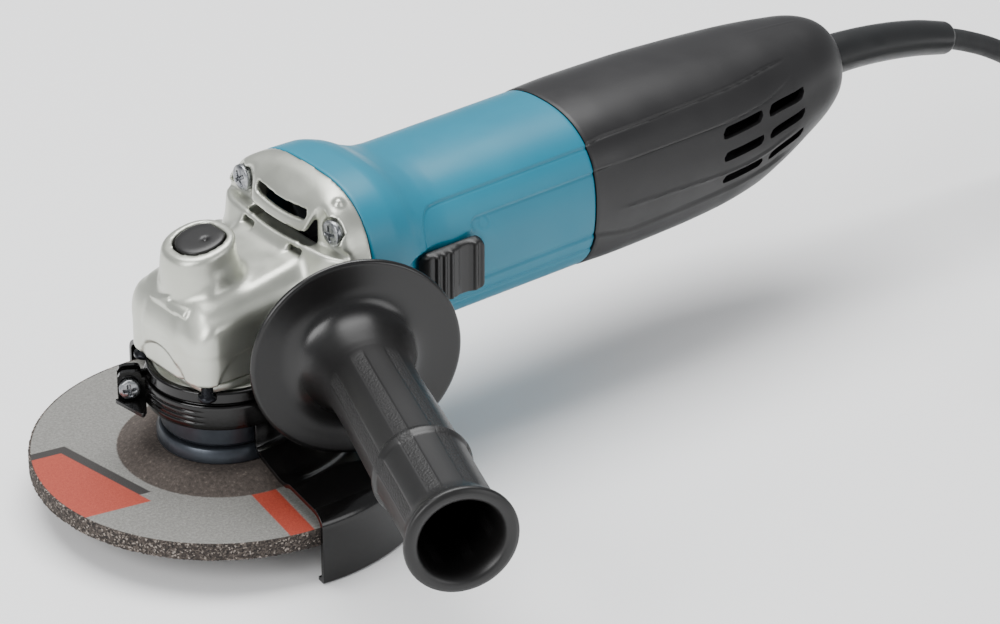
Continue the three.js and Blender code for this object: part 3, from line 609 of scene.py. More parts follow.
def half_width(x):
    """Half the head's width along x: nearly straight sides that flare towards the flange."""
    table = [[-26, 21.0], [-8, 21.3], [4, 22], [12, 23.2], [17, 25], [22, 29], [27, 33], [30, 34]]
    return stations(table, x.ravel())[:, 0].reshape(x.shape)


def front_face(y):
    """The front wall seen from above: flat in the middle, then swept back to the corners."""
    return -23.6 + 1.1 * bump(7.5, 11, y) + 0.012 * np.maximum(y - 9, 0) ** 2


# Block: the outer case, whose top slopes up from the front edge to a low shoulder.
shoulder = blend_min(58.4 + 1.15 * (X + 23.5), 66.0 + 0.1 * (X + 10), 2.5)
# Pedestal: it rises from the block to the valley roof, with a steep front and leaning sides.
facet = 66.8 + 1.1 * (18.2 - side) + 0.16 * (X + 11.8)
valley = 71.9 + 0.17 * (X - 4)
steep_front = (-21.8 + 0.7 * (Z - 62.3) + 0.006 * Y ** 2 - X) * 0.8
pedestal = blend_max((Z - facet) * 0.67, steep_front, 3.0)
pedestal = blend_max(pedestal, Z - valley, 1.6)
walls = blend_max((side - half_width(X)) / 1.15, (front_face(side) - X), 6.0)
arch_side = np.hypot(X + 3, Z - 40.5) - 12.5
arch_front = np.hypot(side, Z - 39.5) - 12.5
relief = (1 - bump(-0.4, 0.8, arch_side)) * bump(15, 18, side) * bump(-22, -19, X)
relief = relief + (1 - bump(-0.4, 0.8, arch_front)) * (1 - bump(-20, -17, X))
walls = walls + 0.75 * relief
body = blend_max(walls, (Z - shoulder) * 0.8, 4.0)
pedestal = blend_max(pedestal, walls + 0.6, 3.0)
body = blend_min(body, np.maximum(pedestal, 55 - Z), 1.4)
body = np.maximum(body, slab(Z, UNDERSIDE, 200))
body = np.maximum(body, X - 33)

# Flange: a squircle ring with a leaning, slightly crowned face for the air slots.
power = 2.9
high_part = np.abs((Z - axis_z) / 36.2) ** power
outline = ((side / 34.3) ** power + high_part) ** (1 / power)
outline = (outline - 1) * 33
face = 20.4 + 0.36 * (Z - 76.5) + 0.003 * Y ** 2
face = blend_max(face, 27.6 + 1.15 * (Z - 92.2), 1.6)
face = blend_max(face, 20.6 + 1.0 * (side - 26.2) + 0 * Z, 4.0)
face = blend_max(face, 27.9 - 2.2 * np.maximum(Z - 44, 0) + 0 * Y, 2.0)
flange = blend_max(outline, (face - X) * 0.8, 2.6)
flange = np.maximum(flange, X - flange_end)
body = blend_min(body, flange, 3.0)

# Lock boss: a skirt that flares into the pedestal, and an upright ring around the button.
from_boss = (np.abs(X + 7.0) ** 2.2 + side ** 2.2) ** (1 / 2.2)
flare_r = stations([[60, 18], [66, 16.2], [70, 14.6], [74, 13.1], [76.5, 12.2], [80, 10]],
                   Z.ravel())[:, 0].reshape(Z.shape)
skirt = blend_max(blend_max((from_boss - flare_r) * 0.85, steep_front, 3.0), walls + 0.6, 3.0)
body = blend_min(body, np.maximum(skirt, slab(Z, 58, 78.5)), 3.0)
ring_r = stations([[70, 12.3], [76, 12.1], [82, 11.5], [90, 11.1]], Z.ravel())[:, 0]
ring = blend_max(from_boss - ring_r.reshape(Z.shape), Z - (85.9 + 0.2 * X), 2.2)
body = blend_min(body, np.maximum(ring, 66 - Z), 1.5)


def along_handle(mirror):
    """Distance from the handle's line, and place along it, on one side or the other."""
    y = Y * mirror
    along = (X - handle_disc[0]) * handle_out[0] + (y - handle_disc[1]) * handle_out[1]
    across = (X - handle_disc[0]) * handle_out[1] - (y - handle_disc[1]) * handle_out[0]
    return np.hypot(across, Z - handle_disc[2]), along


for mirror in (1, -1):
    away, along = along_handle(mirror)
    stub = blend_max(away - 12.6, slab(along, DISC_NEAR, DISC_FAR), 1.2)
    body = blend_min(body, np.maximum(stub, X - flange_end), 3.0)

# A raised mark on the nose: a bar with a half head, for the way the wheel turns.
arrow_up = Z - 66.4
head_part = np.maximum(-1.6 - Y, arrow_up - 2.9 + 0.4 * (Y + 1.6))
head_part = np.maximum(head_part, -1.0 - arrow_up)
shaft_part = np.maximum(slab(Y, -10.4, -1.4), slab(arrow_up, -1.2, 1.0))
arrow = np.minimum(head_part, shaft_part)
body = body - 0.75 * (1 - bump(-0.35, 0.35, arrow)) * (1 - bump(-12, -9, X))

# A small pip that the ejector pin leaves on the flange.
pip = np.sqrt((X - 31.8) ** 2 + (Y + 21.5) ** 2 + (Z - 93.3) ** 2) - 1.7
body = blend_min(body, pip, 0.8)
print("outer form done")

# %% [markdown]
# The cuts come after the fillets, so that their edges stay crisp, as a machined or a cored edge
# is: the air slots, the screw pockets, the button's well, and the rooms inside for the gears,
# the bearings and the fan.
# %% Cuts in the head
def cut(field, tool, edge=0.5):
    """Takes a tool's volume away, with its edge rounded over a small width."""
    return blend_max(field, -tool, edge)


duct = np.maximum(np.maximum(face + 2.2 - X, X - 33.5), side - 16.2)
duct = np.maximum(duct, slab(Z, 74.8, 89.8))
body = np.maximum(body, -duct)
for z_mid, half, tall in ((87.3, 13.5, 1.8), (80.5, 15.7, 1.75)):
    inward = np.maximum(side - half + tall, 0)
    lift = z_mid + 0.9 * (side / half) ** 2 - 0.5
    round_end = np.hypot(inward, np.maximum(np.abs(Z - lift) - 0.4, 0)) - (tall - 0.4)
    body = cut(body, np.maximum(round_end, slab(X, 12, 30)))
small_slot = np.maximum(slab(side, 9.2, 15.4), slab(Z, 75.1, 77.2))
body = cut(body, np.maximum(small_slot, slab(X, 13.5, 30)), 0.7)
for up in (1, -1):
    height = Z - (axis_z + up * screw_reach)
    round_room = np.maximum(np.hypot(side - screw_reach, height) - 5.1, slab(X, 5, 28.9))
    lean = (side - screw_reach) * 0.69 + up * height * 0.72
    flare = np.maximum(lean - 1.6, 15.2 - side + 0.35 * up * height)
    flare = np.maximum(flare, -up * height - 6.4)
    flare = blend_max(flare, slab(X, 5, 28.1 - 0.35 * np.maximum(20.5 - side, 0)), 1.0)
    if up > 0:
        body = cut(body, flare, 1.1)
    body = cut(body, round_room, 0.4)
    body = np.maximum(body, -np.maximum(np.hypot(side - screw_reach, height) - 2.7, 27 - X))
spin = np.hypot(X, Y)
gear_room = spin - 17.6 + 0.9 * np.maximum(Z - 52.5, 0)
body = np.maximum(body, -np.maximum(gear_room, slab(Z, 40, 58.5)))
body = np.maximum(body, -np.maximum(spin - 5.9, slab(Z, 58, 66)))
from_axis = np.hypot(Y, Z - axis_z)
for radius_in, start, stop in ((7.5, 9.5, 24.5), (11.3, 23.6, 40), (27.5, 31.4, 40)):
    body = np.maximum(body, -np.maximum(from_axis - radius_in, slab(X, start, stop)))


def d_shape(grow, x=X, y=side):
    """The button seen from above: a round front and sides, cut straight across the rear."""
    rounded = (np.abs((x - button_x) / (8.1 + grow)) ** 2.2
               + (y / (7.8 + grow)) ** 2.2) ** (1 / 2.4)
    return blend_max((rounded - 1) * 8, x - button_x - 7.3 - grow, 1.5)


well = np.maximum(d_shape(0.35), slab(Z, 72, 95))
body = cut(body, well, 0.3)
pin_hole = np.maximum(np.hypot(X - pin_x, Y) - 2.4, slab(Z, 57, 74))
body = np.maximum(body, -np.maximum(np.hypot(X - pin_x, Y) - 4.2, slab(Z, 66, 74)))
body = np.maximum(body, -pin_hole)
for mirror in (1, -1):
    away, along = along_handle(mirror)
    body = cut(body, np.maximum(away - 4.4, slab(along, -20, 0)), 0.3)
gear_housing = skin("cast_gear_housing", body, (X.min(), Y.min(), Z.min()), STEP)
smooth = gear_housing.modifiers.new("die_polish", "SMOOTH")
smooth.factor, smooth.iterations = 0.5, 2

# %% [markdown]
# The casting is aluminium-zinc alloy, tumbled and clear lacquered: a satin metal whose
# reflections are broad and soft. Metal keeps the default index of refraction. Its roughness
# wanders a little, because tumbling wears flat areas more than hollows, and a fine orange peel
# of about 0.4 mm stands for the skin that the mould leaves. A pointiness mask would need ray
# passes at export, so the edges are left to the light.
# %% Satin die-cast aluminium
cast = plain_finish("satin_die_cast_aluminium", "#bfc1b8", 0.34,
                    tone=(30, 3, (0.3, "#b6b8ae"), (0.7, "#c9cbc1")),
                    sheen=(9, 4, 0.3, 0.42), tooth=[(2.2, 2, 0.02), (0.45, 2, 0.012)],
                    Metallic=0.86)
finish(gear_housing, "housing", "cast_metal", cast, "gear_housing")

# %% [markdown]
# ## Small parts of the head
# The lock button is a black D-shaped key with a crowned top and a moulding dimple. It is a polar
# grid: rows run from the middle of the underside out to the wall, up, and back to the middle of
# the top, and each row is the D outline scaled.
# %% Lock button
def d_outline(grow, count=96):
    """Points of the D outline: a superellipse whose rear is held at a straight line."""
    angle = np.linspace(0, 2 * np.pi, count, endpoint=False)
    x, y = squircle(7.9 + grow, 7.6 + grow, 2.2, angle)
    return np.stack([np.minimum(x, 7.1 + grow), y], 1)


button_low = low("lock_button")[2]
wall_rows = [(0.5, 0.0, 0.0), (1.0, 0.0, 0.0), (1.0, 0.5, 0.0), (1.0, 1.0, -0.5)]
crown_rows = [(share, 1.0, 0.2 - 0.55 * share ** 8) for share in np.linspace(0.99, 0.03, 34)]
rows = []
for share, rise, lift in wall_rows + crown_rows:
    plan = d_outline(-0.15) * share
    dimple = 0.9 * np.exp(-((plan[:, 0] - 0.6) ** 2 + (plan[:, 1] + 2.2) ** 2) / 1.1)
    top = 86.2 + 0.2 * (button_x + plan[:, 0]) + lift - dimple
    z = button_low + rise * (top - button_low)
    rows.append(np.stack([button_x + plan[:, 0], plan[:, 1], z], 1))
lock_button = surface("lock_key", np.array(rows), ends=(True, True))
key_black = plain_finish("black_moulded_nylon", "#0e0d0d", 0.38, tooth=[(0.5, 2, 0.012)])
finish(lock_button, "spindle_lock", "black_plastic", key_black, "lock_button")


# %% [markdown]
# Four pan-head screws hold the casting to the motor case. A head is a height over a disc: a low
# dome whose rim drops off, less a cross recess. The cross is where the distance from either of
# two lines is small, faded out towards the rim. Steel screws are zinc plated and passivated, which
# leaves a grey metal with slightly blurred reflections.
# %% Screws
def cross_screw(name, centre, axis, head_r, head_high, shank_r, shank_long, spin=0.3):
    """A revolved head and shank: rows go over the head, down its rim, and along the shank."""
    angle = np.linspace(0, 2 * np.pi, 64, endpoint=False)
    share = np.linspace(0.02, 1, 26)[:, None]
    dome = head_high * (0.62 + 0.38 * np.sqrt(np.maximum(1 - share ** 2, 0)))
    u, v = share * head_r * np.cos(angle - spin), share * head_r * np.sin(angle - spin)
    arm = np.minimum(np.abs(u), np.abs(v))
    reach = np.maximum(np.abs(u), np.abs(v))
    recess = (1 - bump(0.32, 0.62, arm)) * (1 - bump(0.5 * head_r, 0.66 * head_r, reach))
    height = dome - 1.5 * recess
    flat = np.array([[head_r, 0.35 * head_high], [head_r * 0.98, 0], [shank_r, 0],
                     [shank_r, -shank_long]])
    radii = np.vstack([share * head_r * np.ones_like(angle), flat[:, :1] * np.ones_like(angle)])
    heights = np.vstack([height, flat[:, 1:] * np.ones_like(angle)])
    out = np.array(axis, float)
    out /= np.linalg.norm(out)
    side_a = np.cross(out, [0.3, 0.2, 1.0] if abs(out[2]) < 0.9 else [1.0, 0, 0])
    side_a /= np.linalg.norm(side_a)
    side_b = np.cross(out, side_a)
    grid = (np.array(centre) + heights[..., None] * out + radii[..., None]
            * (np.cos(angle)[:, None] * side_a + np.sin(angle)[:, None] * side_b))
    return surface(name, grid, ends=(True, True))


screw_steel = plain_finish("zinc_plated_steel", "#8e9094", 0.3,
                           tone=(1.6, 3, (0.35, "#6f7175"), (0.65, "#a7a9ab")),
                           sheen=(0.8, 2, 0.24, 0.42), Metallic=1.0)
for number in range(1, 5):
    name = f"housing_screw_{number}"
    middle = (low(name) + high(name)) / 2
    screw = cross_screw(f"case_screw_{number}", (28.7, middle[1], middle[2]), (-1, 0, 0),
                        4.4, 2.9, 2.3, 19.0, spin=0.4 * number)
    finish(screw, "housing", "bright_steel", screw_steel, name)
oxide_steel = plain_finish("black_oxide_steel", "#25262a", 0.3, sheen=(1.2, 2, 0.22, 0.4),
                           Metallic=0.9)
for number in range(1, 5):
    name = f"bearing_box_screw_{number}"
    middle = (low(name) + high(name)) / 2
    screw = cross_screw(f"foot_screw_{number}", (middle[0], middle[1], 40.0), (0, 0, -1),
                        3.0, 2.2, 1.9, 9.8, spin=0.7 * number)
    finish(screw, "housing", "bright_steel", oxide_steel, name)

# %% [markdown]
# ## Bearing box
# Under the casting sits a second one, which holds the lower bearing: a thin square plate with
# lobes around its screws, and the round neck that the guard turns on. Rows of the plate are
# squircles with a lobe added near each diagonal, and the rows round over at both rims.
# %% Bearing box
angle = np.linspace(0, 2 * np.pi, 180, endpoint=False)
lobe = 1.3 * np.exp(-((np.mod(angle, np.pi / 2) - np.pi / 4) / 0.2) ** 2)
rows = []
profile = [("round", 8.2, 26.6), ("round", 21.2, 26.6), ("round", 21.5, 26.9),
           ("round", 21.5, 39.6), ("plate", -1.0, 40.2), ("plate", -0.3, 40.4),
           ("plate", 0.0, 41.0), ("plate", 0.0, 42.6), ("plate", -0.3, 43.1),
           ("round", 16.6, 43.1), ("round", 16.4, 28.0), ("round", 8.2, 28.0)]
for kind, value, z in profile:
    if kind == "round":
        x, y = value * np.cos(angle), value * np.sin(angle)
    else:
        x, y = squircle(20.2 + value, 20.2 + value, 4.2, angle)
        x, y = x + lobe * np.cos(angle), y + lobe * np.sin(angle)
    rows.append(np.stack([x, y, np.full_like(x, z)], 1))
bearing_box = surface("bearing_box_casting", np.array(rows), shell=True)
bearing_box.data.shade_smooth()
ease_edges(bearing_box, "soft_rims", 0.3)
finish(bearing_box, "housing", "cast_metal", cast, "bearing_box")

# %% [markdown]
# ## Motor case
# The case is one tube of glass-filled nylon, moulded in teal. Its section is a squircle that
# starts as wide as the casting's flange and narrows to a grip. Sunk panels with rounded corners
# run along both sides, and a scoop holds the switch knob. All of that is relief on one skin, so
# the tube is a grid of x by angle whose points are pushed along the section's normal by a
# relief function. A panel is a distance to a rounded rectangle in x and height, passed through
# a smooth step, which gives a crisp edge with a small radius, as a steel mould has.
# %% Case helpers
CASE_WALL = 2.6
case_table = [
    [36.3, 34.3, 36.2, 2.9], [46, 34.2, 36, 2.85], [52, 33.5, 34.6, 2.75], [59, 31.3, 31.2, 2.6],
    [66, 29.8, 29.3, 2.45], [72, 29.35, 29.0, 2.4], [131, 29.35, 29.0, 2.4],
]


def rounded_box(x, up, x_from, x_to, low_edge, high_edge, radius):
    """Distance outside a rounded rectangle: the length of what sticks out, less the radius."""
    dx = np.maximum(slab(x, x_from, x_to) + radius, 0)
    dz = np.maximum(slab(up, low_edge, high_edge) + radius, 0)
    inside = np.minimum(np.maximum(slab(x, x_from, x_to), slab(up, low_edge, high_edge)), -radius)
    return np.where(np.maximum(dx, dz) > 0, np.hypot(dx, dz) - radius, inside)


def line_at(value, place, width):
    """A groove profile across a line: 1 on the line, 0 beyond width, a smooth bell between."""
    t = np.clip(np.abs(value - place) / width, 0, 1)
    return (1 - t * t) ** 2


def body_grid(table, x, angle, inset, middle):
    """Squircle sections along X, and the outward normal of each section at each point.

    The normal follows the gradient of |y/a|^p + |z/b|^p, which is p |y|^(p-1) / a^p for y.
    """
    shape = stations(table, x)
    half_y, half_z, power = shape[:, :1] - inset, shape[:, 1:2] - inset, shape[:, 2:3]
    y, up = squircle(half_y, half_z, power, angle)
    normal = np.stack([np.zeros_like(y), np.sign(y) * np.abs(y / half_y) ** (power - 1) / half_y,
                       np.sign(up) * np.abs(up / half_z) ** (power - 1) / half_z], -1)
    normal /= np.linalg.norm(normal, axis=-1, keepdims=True)
    wide_x = np.broadcast_to(x[:, None], y.shape)
    return np.stack([wide_x, y, middle[:, None] + up], -1), normal, up


# %% Case relief
def case_relief(x, y, up):
    """How far the case's skin moves out along its normal, in millimetres; sunk is negative."""
    flank = bump(12, 17, np.abs(y))
    wide = rounded_box(x, up, 60.0, 150, -16.2, 20.8, 6.0)
    main = rounded_box(x, up, 80.0, 150, -10.6, 13.1, 2.6)
    wide_panel = 1 - bump(-0.25, 0.4, wide)
    main_panel = 1 - bump(-0.25, 0.4, main)
    borders = line_at(wide, -0.5, 0.55) + line_at(main, -0.5, 0.55)
    ring = line_at(np.hypot(x - 85.3, up - 10.2), 1.9, 0.5) * bump(0.6, 1.1, np.abs(x - 85.3))
    edge = bump(0.7, 0.0, x - case_table[0][0]) + bump(0.7, 0.0, case_table[-1][0] - x)
    sunk = 0.55 * wide_panel + 0.45 * main_panel + 0.3 * ring + 0.25 * borders
    return -flank * sunk - 0.35 * edge


case_x = np.linspace(case_table[0][0], case_table[-1][0], 178)
case_angle = np.linspace(0, 2 * np.pi, 400, endpoint=False)
middle = np.full_like(case_x, axis_z)
case_skin, normal, up = body_grid(case_table, case_x, case_angle, 0, middle)
relief = case_relief(case_skin[..., 0], case_skin[..., 1], up)
case_skin = case_skin + relief[..., None] * normal
knob_middle = (low("switch_knob") + high("switch_knob")) / 2
knob_up = knob_middle[2] - axis_z
scoop = 1 - bump(-0.9, 0.6, rounded_box(case_skin[..., 0], up, 49.3, 84.0, knob_up - 11.6,
                                        knob_up + 10.4, 5.0))
scoop_floor = -28.9 + 0.75 * bump(54, 58, case_skin[..., 0])
scoop_floor = scoop_floor + 0.6 * bump(72, 83, case_skin[..., 0])
sunk = np.maximum(case_skin[..., 1], scoop_floor)
case_skin[..., 1] += np.where(case_skin[..., 1] < 0, scoop * (sunk - case_skin[..., 1]), 0)

inner_x = case_x[::-8]
inner, normal, up = body_grid(case_table, inner_x, case_angle, CASE_WALL, middle[:len(inner_x)])
near_scoop = (inner[..., 0] > 45) & (inner[..., 0] < 90) & (np.abs(up) < 15)
inner[..., 1] = np.where(near_scoop, np.maximum(inner[..., 1], -25.9), inner[..., 1])
case = surface("teal_motor_case", np.vstack([case_skin, inner]), shell=True)

# %% [markdown]
# Moulded nylon is a soft satin plastic. The dye is even, but a moulding's gloss wanders where the
# resin cooled at different speeds, and a fine spark-eroded grain of about a third of a
# millimetre breaks the highlights up. The colour itself drifts a little over a few centimetres.
# %% Teal nylon
teal = plain_finish("satin_teal_nylon", "#08708a", 0.4,
                    tone=(45, 3, (0.3, "#066c85"), (0.7, "#0c768f")),
                    sheen=(12, 3, 0.36, 0.46), tooth=[(0.35, 2, 0.01)])
finish(case, "housing", "teal_plastic", teal, "motor_housing")

# %% [markdown]
# ## Switch knob
# The knob is a thumb slider: a thick plate with a smooth ramp in front, three upright ribs, a
# hollow for the thumb and two ribs behind. Its face is a thickness over the plate: a curve along
# x read from a few rows, with narrow ribs added, and a rounded rim all round. The grid is the
# face above and a flat back below.
# %% Knob
knob_low, knob_high = low("switch_knob"), high("switch_knob")
KNOB_BACK = -29.7
share_x = np.linspace(-1, 1, 170)
share_z = np.linspace(-1, 1, 72)
half = np.array([(knob_high[0] - knob_low[0]) / 2, (knob_high[2] - knob_low[2]) / 2])
plate_x, plate_z = np.meshgrid(share_x * half[0], share_z * half[1], indexing="ij")
corner = np.maximum(rounded_box(plate_x, plate_z, -half[0], half[0], -half[1], half[1], 3.4), 0)
pull = 1 - corner / np.maximum(np.hypot(plate_x, plate_z), 1)
plate_x, plate_z = plate_x * pull, plate_z * pull
from_rim = -rounded_box(plate_x, plate_z, -half[0], half[0], -half[1], half[1], 3.4)
along = plate_x + half[0]
thick = stations([[0, 0.5], [3.2, 2.7], [5.2, 3.0], [9, 3.05], [13, 2.9], [15.5, 2.2], [18, 2.35],
                  [20.5, 3.2], [25, 3.3]], along.ravel())[:, 0].reshape(along.shape)
for rib_at, rib_high in ((5.2, 0.75), (8.1, 0.75), (11.0, 0.75), (20.6, 0.55), (23.3, 0.55)):
    thick = thick + rib_high * line_at(along, rib_at, 1.15) * bump(0.2, 1.6, from_rim)
thick = thick * (1 - (1 - np.clip(from_rim / 1.3, 0, 1)) ** 2 * 0.75)
top_side = np.stack([knob_middle[0] + plate_x, KNOB_BACK - thick, knob_middle[2] + plate_z], -1)
back_side = top_side[:, ::-1].copy()
back_side[..., 1] = KNOB_BACK
knob = surface("thumb_slider", np.hstack([top_side, back_side]), ends=("flat", "flat"))
knob.data.set_sharp_from_angle(angle=math.radians(50))
finish(knob, "switch", "black_plastic", key_black, "switch_knob")

# %% [markdown]
# ## Rear cover
# The cover is a black shell that continues the grip and closes in a rounded end around the cord's
# sleeve. Its sections drift upwards towards the end, so a station also has a middle height. Four
# lines run along each flank: two steps that carry on from the case's panels, a thin raised bead
# and a lower step. A mould's parting line is a fine ridge along the top and the bottom.
# %% Cover skin
COVER_WALL = 2.4
cover_table = [
    [131.3, 29.5, 29.2, 2.4, 61.2], [145, 29.8, 29.6, 2.4, 61.2], [172, 29.4, 29.2, 2.4, 61.2],
    [190, 28.6, 28.3, 2.4, 61.25], [206, 27.1, 26.7, 2.4, 61.9], [220, 24.7, 24.2, 2.35, 63.6],
    [234, 21, 20.9, 2.3, 65.6], [243, 18.3, 18.5, 2.2, 66.8], [249.5, 15.2, 15.5, 2.1, 67.4],
    [252.3, 12.2, 12.5, 2.1, 67.6], [253, 8.7, 8.9, 2.0, 67.6], [253.01, 7.9, 7.9, 2.0, 67.6],
]


def line_height(table, x):
    """The height above the middle of a line that wanders along the cover."""
    return stations(table, x.ravel())[:, 0].reshape(x.shape)


def cover_relief(x, y, up):
    """How far the cover's skin moves out along its normal, in millimetres."""
    flank = bump(9, 13, np.abs(y))
    fade = 1 - bump(212, 224, x)
    first = line_height([[131, 21.5], [140, 22.2], [165, 22.2], [207, 21.4], [226, 19]], x)
    second = line_height([[131, 13.6], [162, 13.1], [193, 12.8], [209, 13.2], [224, 15]], x)
    third = line_height([[131, -2.6], [161, -4.0], [197, -5.8], [226, -4]], x)
    fourth = line_height([[131, -10.4], [149, -13.6], [178, -12.9], [226, -12]], x)
    panel = (1 - bump(-0.35, 0.35, up - first)) * bump(-0.35, 0.35, up - fourth)
    deep = (1 - bump(-0.25, 0.25, up - second)) * bump(-0.25, 0.25, up - fourth - 0.8)
    bead = line_at(up, third, 0.9) * bump(139, 146, x)
    groove = line_at(up, second, 0.5) + line_at(up, first - 0.3, 0.45)
    parting = line_at(y, -0.6, 0.35) * (1 - bump(236, 244, x))
    edge = bump(0.7, 0.0, x - cover_table[0][0])
    return (flank * fade * (-0.45 * panel - 0.35 * deep + 0.35 * bead - 0.22 * groove)
            + 0.14 * parting - 0.35 * edge)


cover_x = np.r_[np.linspace(131.3, 240, 172), np.linspace(240.4, 252.6, 30), 252.8, 252.92, 253.0,
                253.01]
cover_angle = np.linspace(0, 2 * np.pi, 360, endpoint=False)
table = np.array(cover_table)
middle = stations(table[:, [0, 4]], cover_x)[:, 0]
cover_skin, normal, up = body_grid(table[:, :4], cover_x, cover_angle, 0, middle)
relief = cover_relief(cover_skin[..., 0], cover_skin[..., 1], up)
cover_skin = cover_skin + relief[..., None] * normal
hollow = table[:9].copy()
hollow[:, 1:3] -= COVER_WALL
inner_table = np.vstack([hollow, [250.6, 10.8, 10.8, 2.0, 67.6], [251, 7.9, 7.9, 2.0, 67.6]])
inner_x = np.r_[251.0, 250.95, 250.8, 250.5, np.linspace(250, 132, 26), 131.3]
middle = stations(inner_table[:, [0, 4]], inner_x)[:, 0]
inner, normal, up = body_grid(inner_table[:, :4], inner_x, cover_angle, 0, middle)
cover = surface("black_rear_cover", np.vstack([cover_skin, inner]), shell=True)

# %% [markdown]
# The air slots are cut through the wall with one boolean. Each cutter is a bar whose height
# closes to nothing at its ends, which rounds the slot's corners, and which follows the drift of
# the cover's middle, so that the rows of slots run with the lines above them.
# %% Air slots
cutters = bpy.data.collections.new("slot_cutters")
for start, stop in ((186.3, 205.2), (208.2, 226.0)):
    for row_up, tall in ((9.1, 2.0), (0.7, 1.75), (-7.9, 1.5)):
        t = np.linspace(-1, 1, 25)
        x = (start + stop) / 2 + t * (stop - start) / 2
        reach = tall * np.clip(1 - np.abs(t) ** 14, 0, 1) ** 0.5 + 0.02
        centre = stations(table[:, [0, 4]], x)[:, 0] + row_up * (1 - 0.16 * bump(205, 228, x))
        for sign in (-1, 1):
            bar = np.stack([np.stack([x + 0.35 * rise * reach, np.full_like(x, sign * depth),
                                      centre + rise * reach], 1)
                            for depth, rise in ((10, -1), (40, -1), (40, 1), (10, 1))], 1)
            cutter = surface("slot_cutter", bar, ends=("flat", "flat"))
            bpy.context.scene.collection.objects.unlink(cutter)
            cutters.objects.link(cutter)
bpy.context.scene.collection.children.link(cutters)
slots = cover.modifiers.new("air_slots", "BOOLEAN")
slots.operation, slots.operand_type, slots.solver = "DIFFERENCE", "COLLECTION", "EXACT"
slots.collection = cutters
ready = cover.evaluated_get(bpy.context.evaluated_depsgraph_get())
pierced = bpy.data.meshes.new_from_object(ready)
cover.modifiers.clear()
cover.data = pierced
for cutter in list(cutters.objects):
    bpy.data.objects.remove(cutter)
bpy.data.collections.remove(cutters)
cover.data.set_sharp_from_angle(angle=math.radians(40))
print("air slots cut:", len(cover.data.polygons), "faces")

# %% [markdown]
# The cover's plastic is the same family of nylon in black. It has a slightly coarser grain, its
# gloss wanders in broad patches, and its tone drifts a little over a few centimetres.
# %% Black nylon cover
cover_black = plain_finish("satin_black_nylon", "#141314", 0.42,
                           tone=(38, 3, (0.3, "#121112"), (0.7, "#181718")),
                           sheen=(14, 3, 0.38, 0.5), tooth=[(0.4, 2, 0.014)])
finish(cover, "housing", "black_plastic", cover_black, "rear_cover")

# %% [markdown]
# ## Cord sleeve
# A tapered rubber sleeve guides the cord out. It is swept along the same line as the CAD sleeve:
# a collar that the cover holds, then a plain round taper whose end is rolled over.
# %% Sleeve
sleeve_line = smooth_path(np.array([[238, 0, 67.6], [246, 0, 67.5], [252, 0, 67.4], [266, 0, 66.8],
                                    [281, 0, 65], [297, 0, 61.8], [312, 0, 57.4]]), 0.6)
travel = np.r_[0, np.cumsum(np.linalg.norm(np.diff(sleeve_line, axis=0), axis=1))]
whole = travel[-1]
sleeve_r = stations([[0, 10.2], [8.2, 10.2], [8.8, 7.6], [whole - 1.6, 5.85], [whole - 0.6, 5.6],
                     [whole, 4.7]], travel)[:, 0]
sleeve = surface("cord_sleeve", swept(sleeve_line, sleeve_r, 72), ends=(True, True))
sleeve_rubber = plain_finish("smooth_black_rubber", "#151617", 0.34,
                             sheen=(7, 3, 0.3, 0.44), tooth=[(0.9, 3, 0.02)])
finish(sleeve, "housing", "cord_rubber", sleeve_rubber, "cord_guard")

# %% [markdown]
# ## Wheel guard
# The guard is pressed from 1.6 mm steel: a dished plate over half of the wheel, a deep skirt with
# a rolled-in lip, and a neck that turns on the bearing box. Its section is one outline of radius
# and height, turned through half a circle. The outline isn't convex, so its two ends are closed
# with flat polygons. A small bevel on the bends catches the light, as paint over a bend does.
# %% Turned pieces
def turned(name, profile, count=128, start=0.0, sweep=360.0, bevel=0.25, crease=32):
    """A closed (radius, height) outline turned about the spindle's line, with its edges eased."""
    whole_turn = sweep >= 360
    angle = np.radians(np.linspace(start, start + sweep, count, endpoint=not whole_turn))
    r, z = np.array(profile, float).T
    grid = np.stack([np.cos(angle)[:, None] * r, np.sin(angle)[:, None] * r,
                     np.broadcast_to(z, (count, len(r)))], -1)
    caps = (False, False) if whole_turn else ("flat", "flat")
    piece = surface(name, grid, tube=True, shell=whole_turn, ends=caps)
    piece.data.set_sharp_from_angle(angle=math.radians(crease))
    if bevel:
        ease_edges(piece, "eased_edges", bevel, crease)
    return piece


def rounded_outline(corners_and_radii, steps=5):
    """An outline with each corner replaced by a quadratic curve that starts radius away."""
    points = np.array([row[:2] for row in corners_and_radii], float)
    radii = [row[2] if len(row) > 2 else 0 for row in corners_and_radii]
    outline = []
    for k, corner in enumerate(points):
        before, after = points[k - 1] - corner, points[(k + 1) % len(points)] - corner
        if not radii[k]:
            outline.append(corner)
            continue
        a = corner + before / np.linalg.norm(before) * min(radii[k], np.linalg.norm(before) / 2)
        b = corner + after / np.linalg.norm(after) * min(radii[k], np.linalg.norm(after) / 2)
        for t in np.linspace(0, 1, steps):
            outline.append((1 - t) ** 2 * a + 2 * t * (1 - t) * corner + t * t * b)
    return np.array(outline)


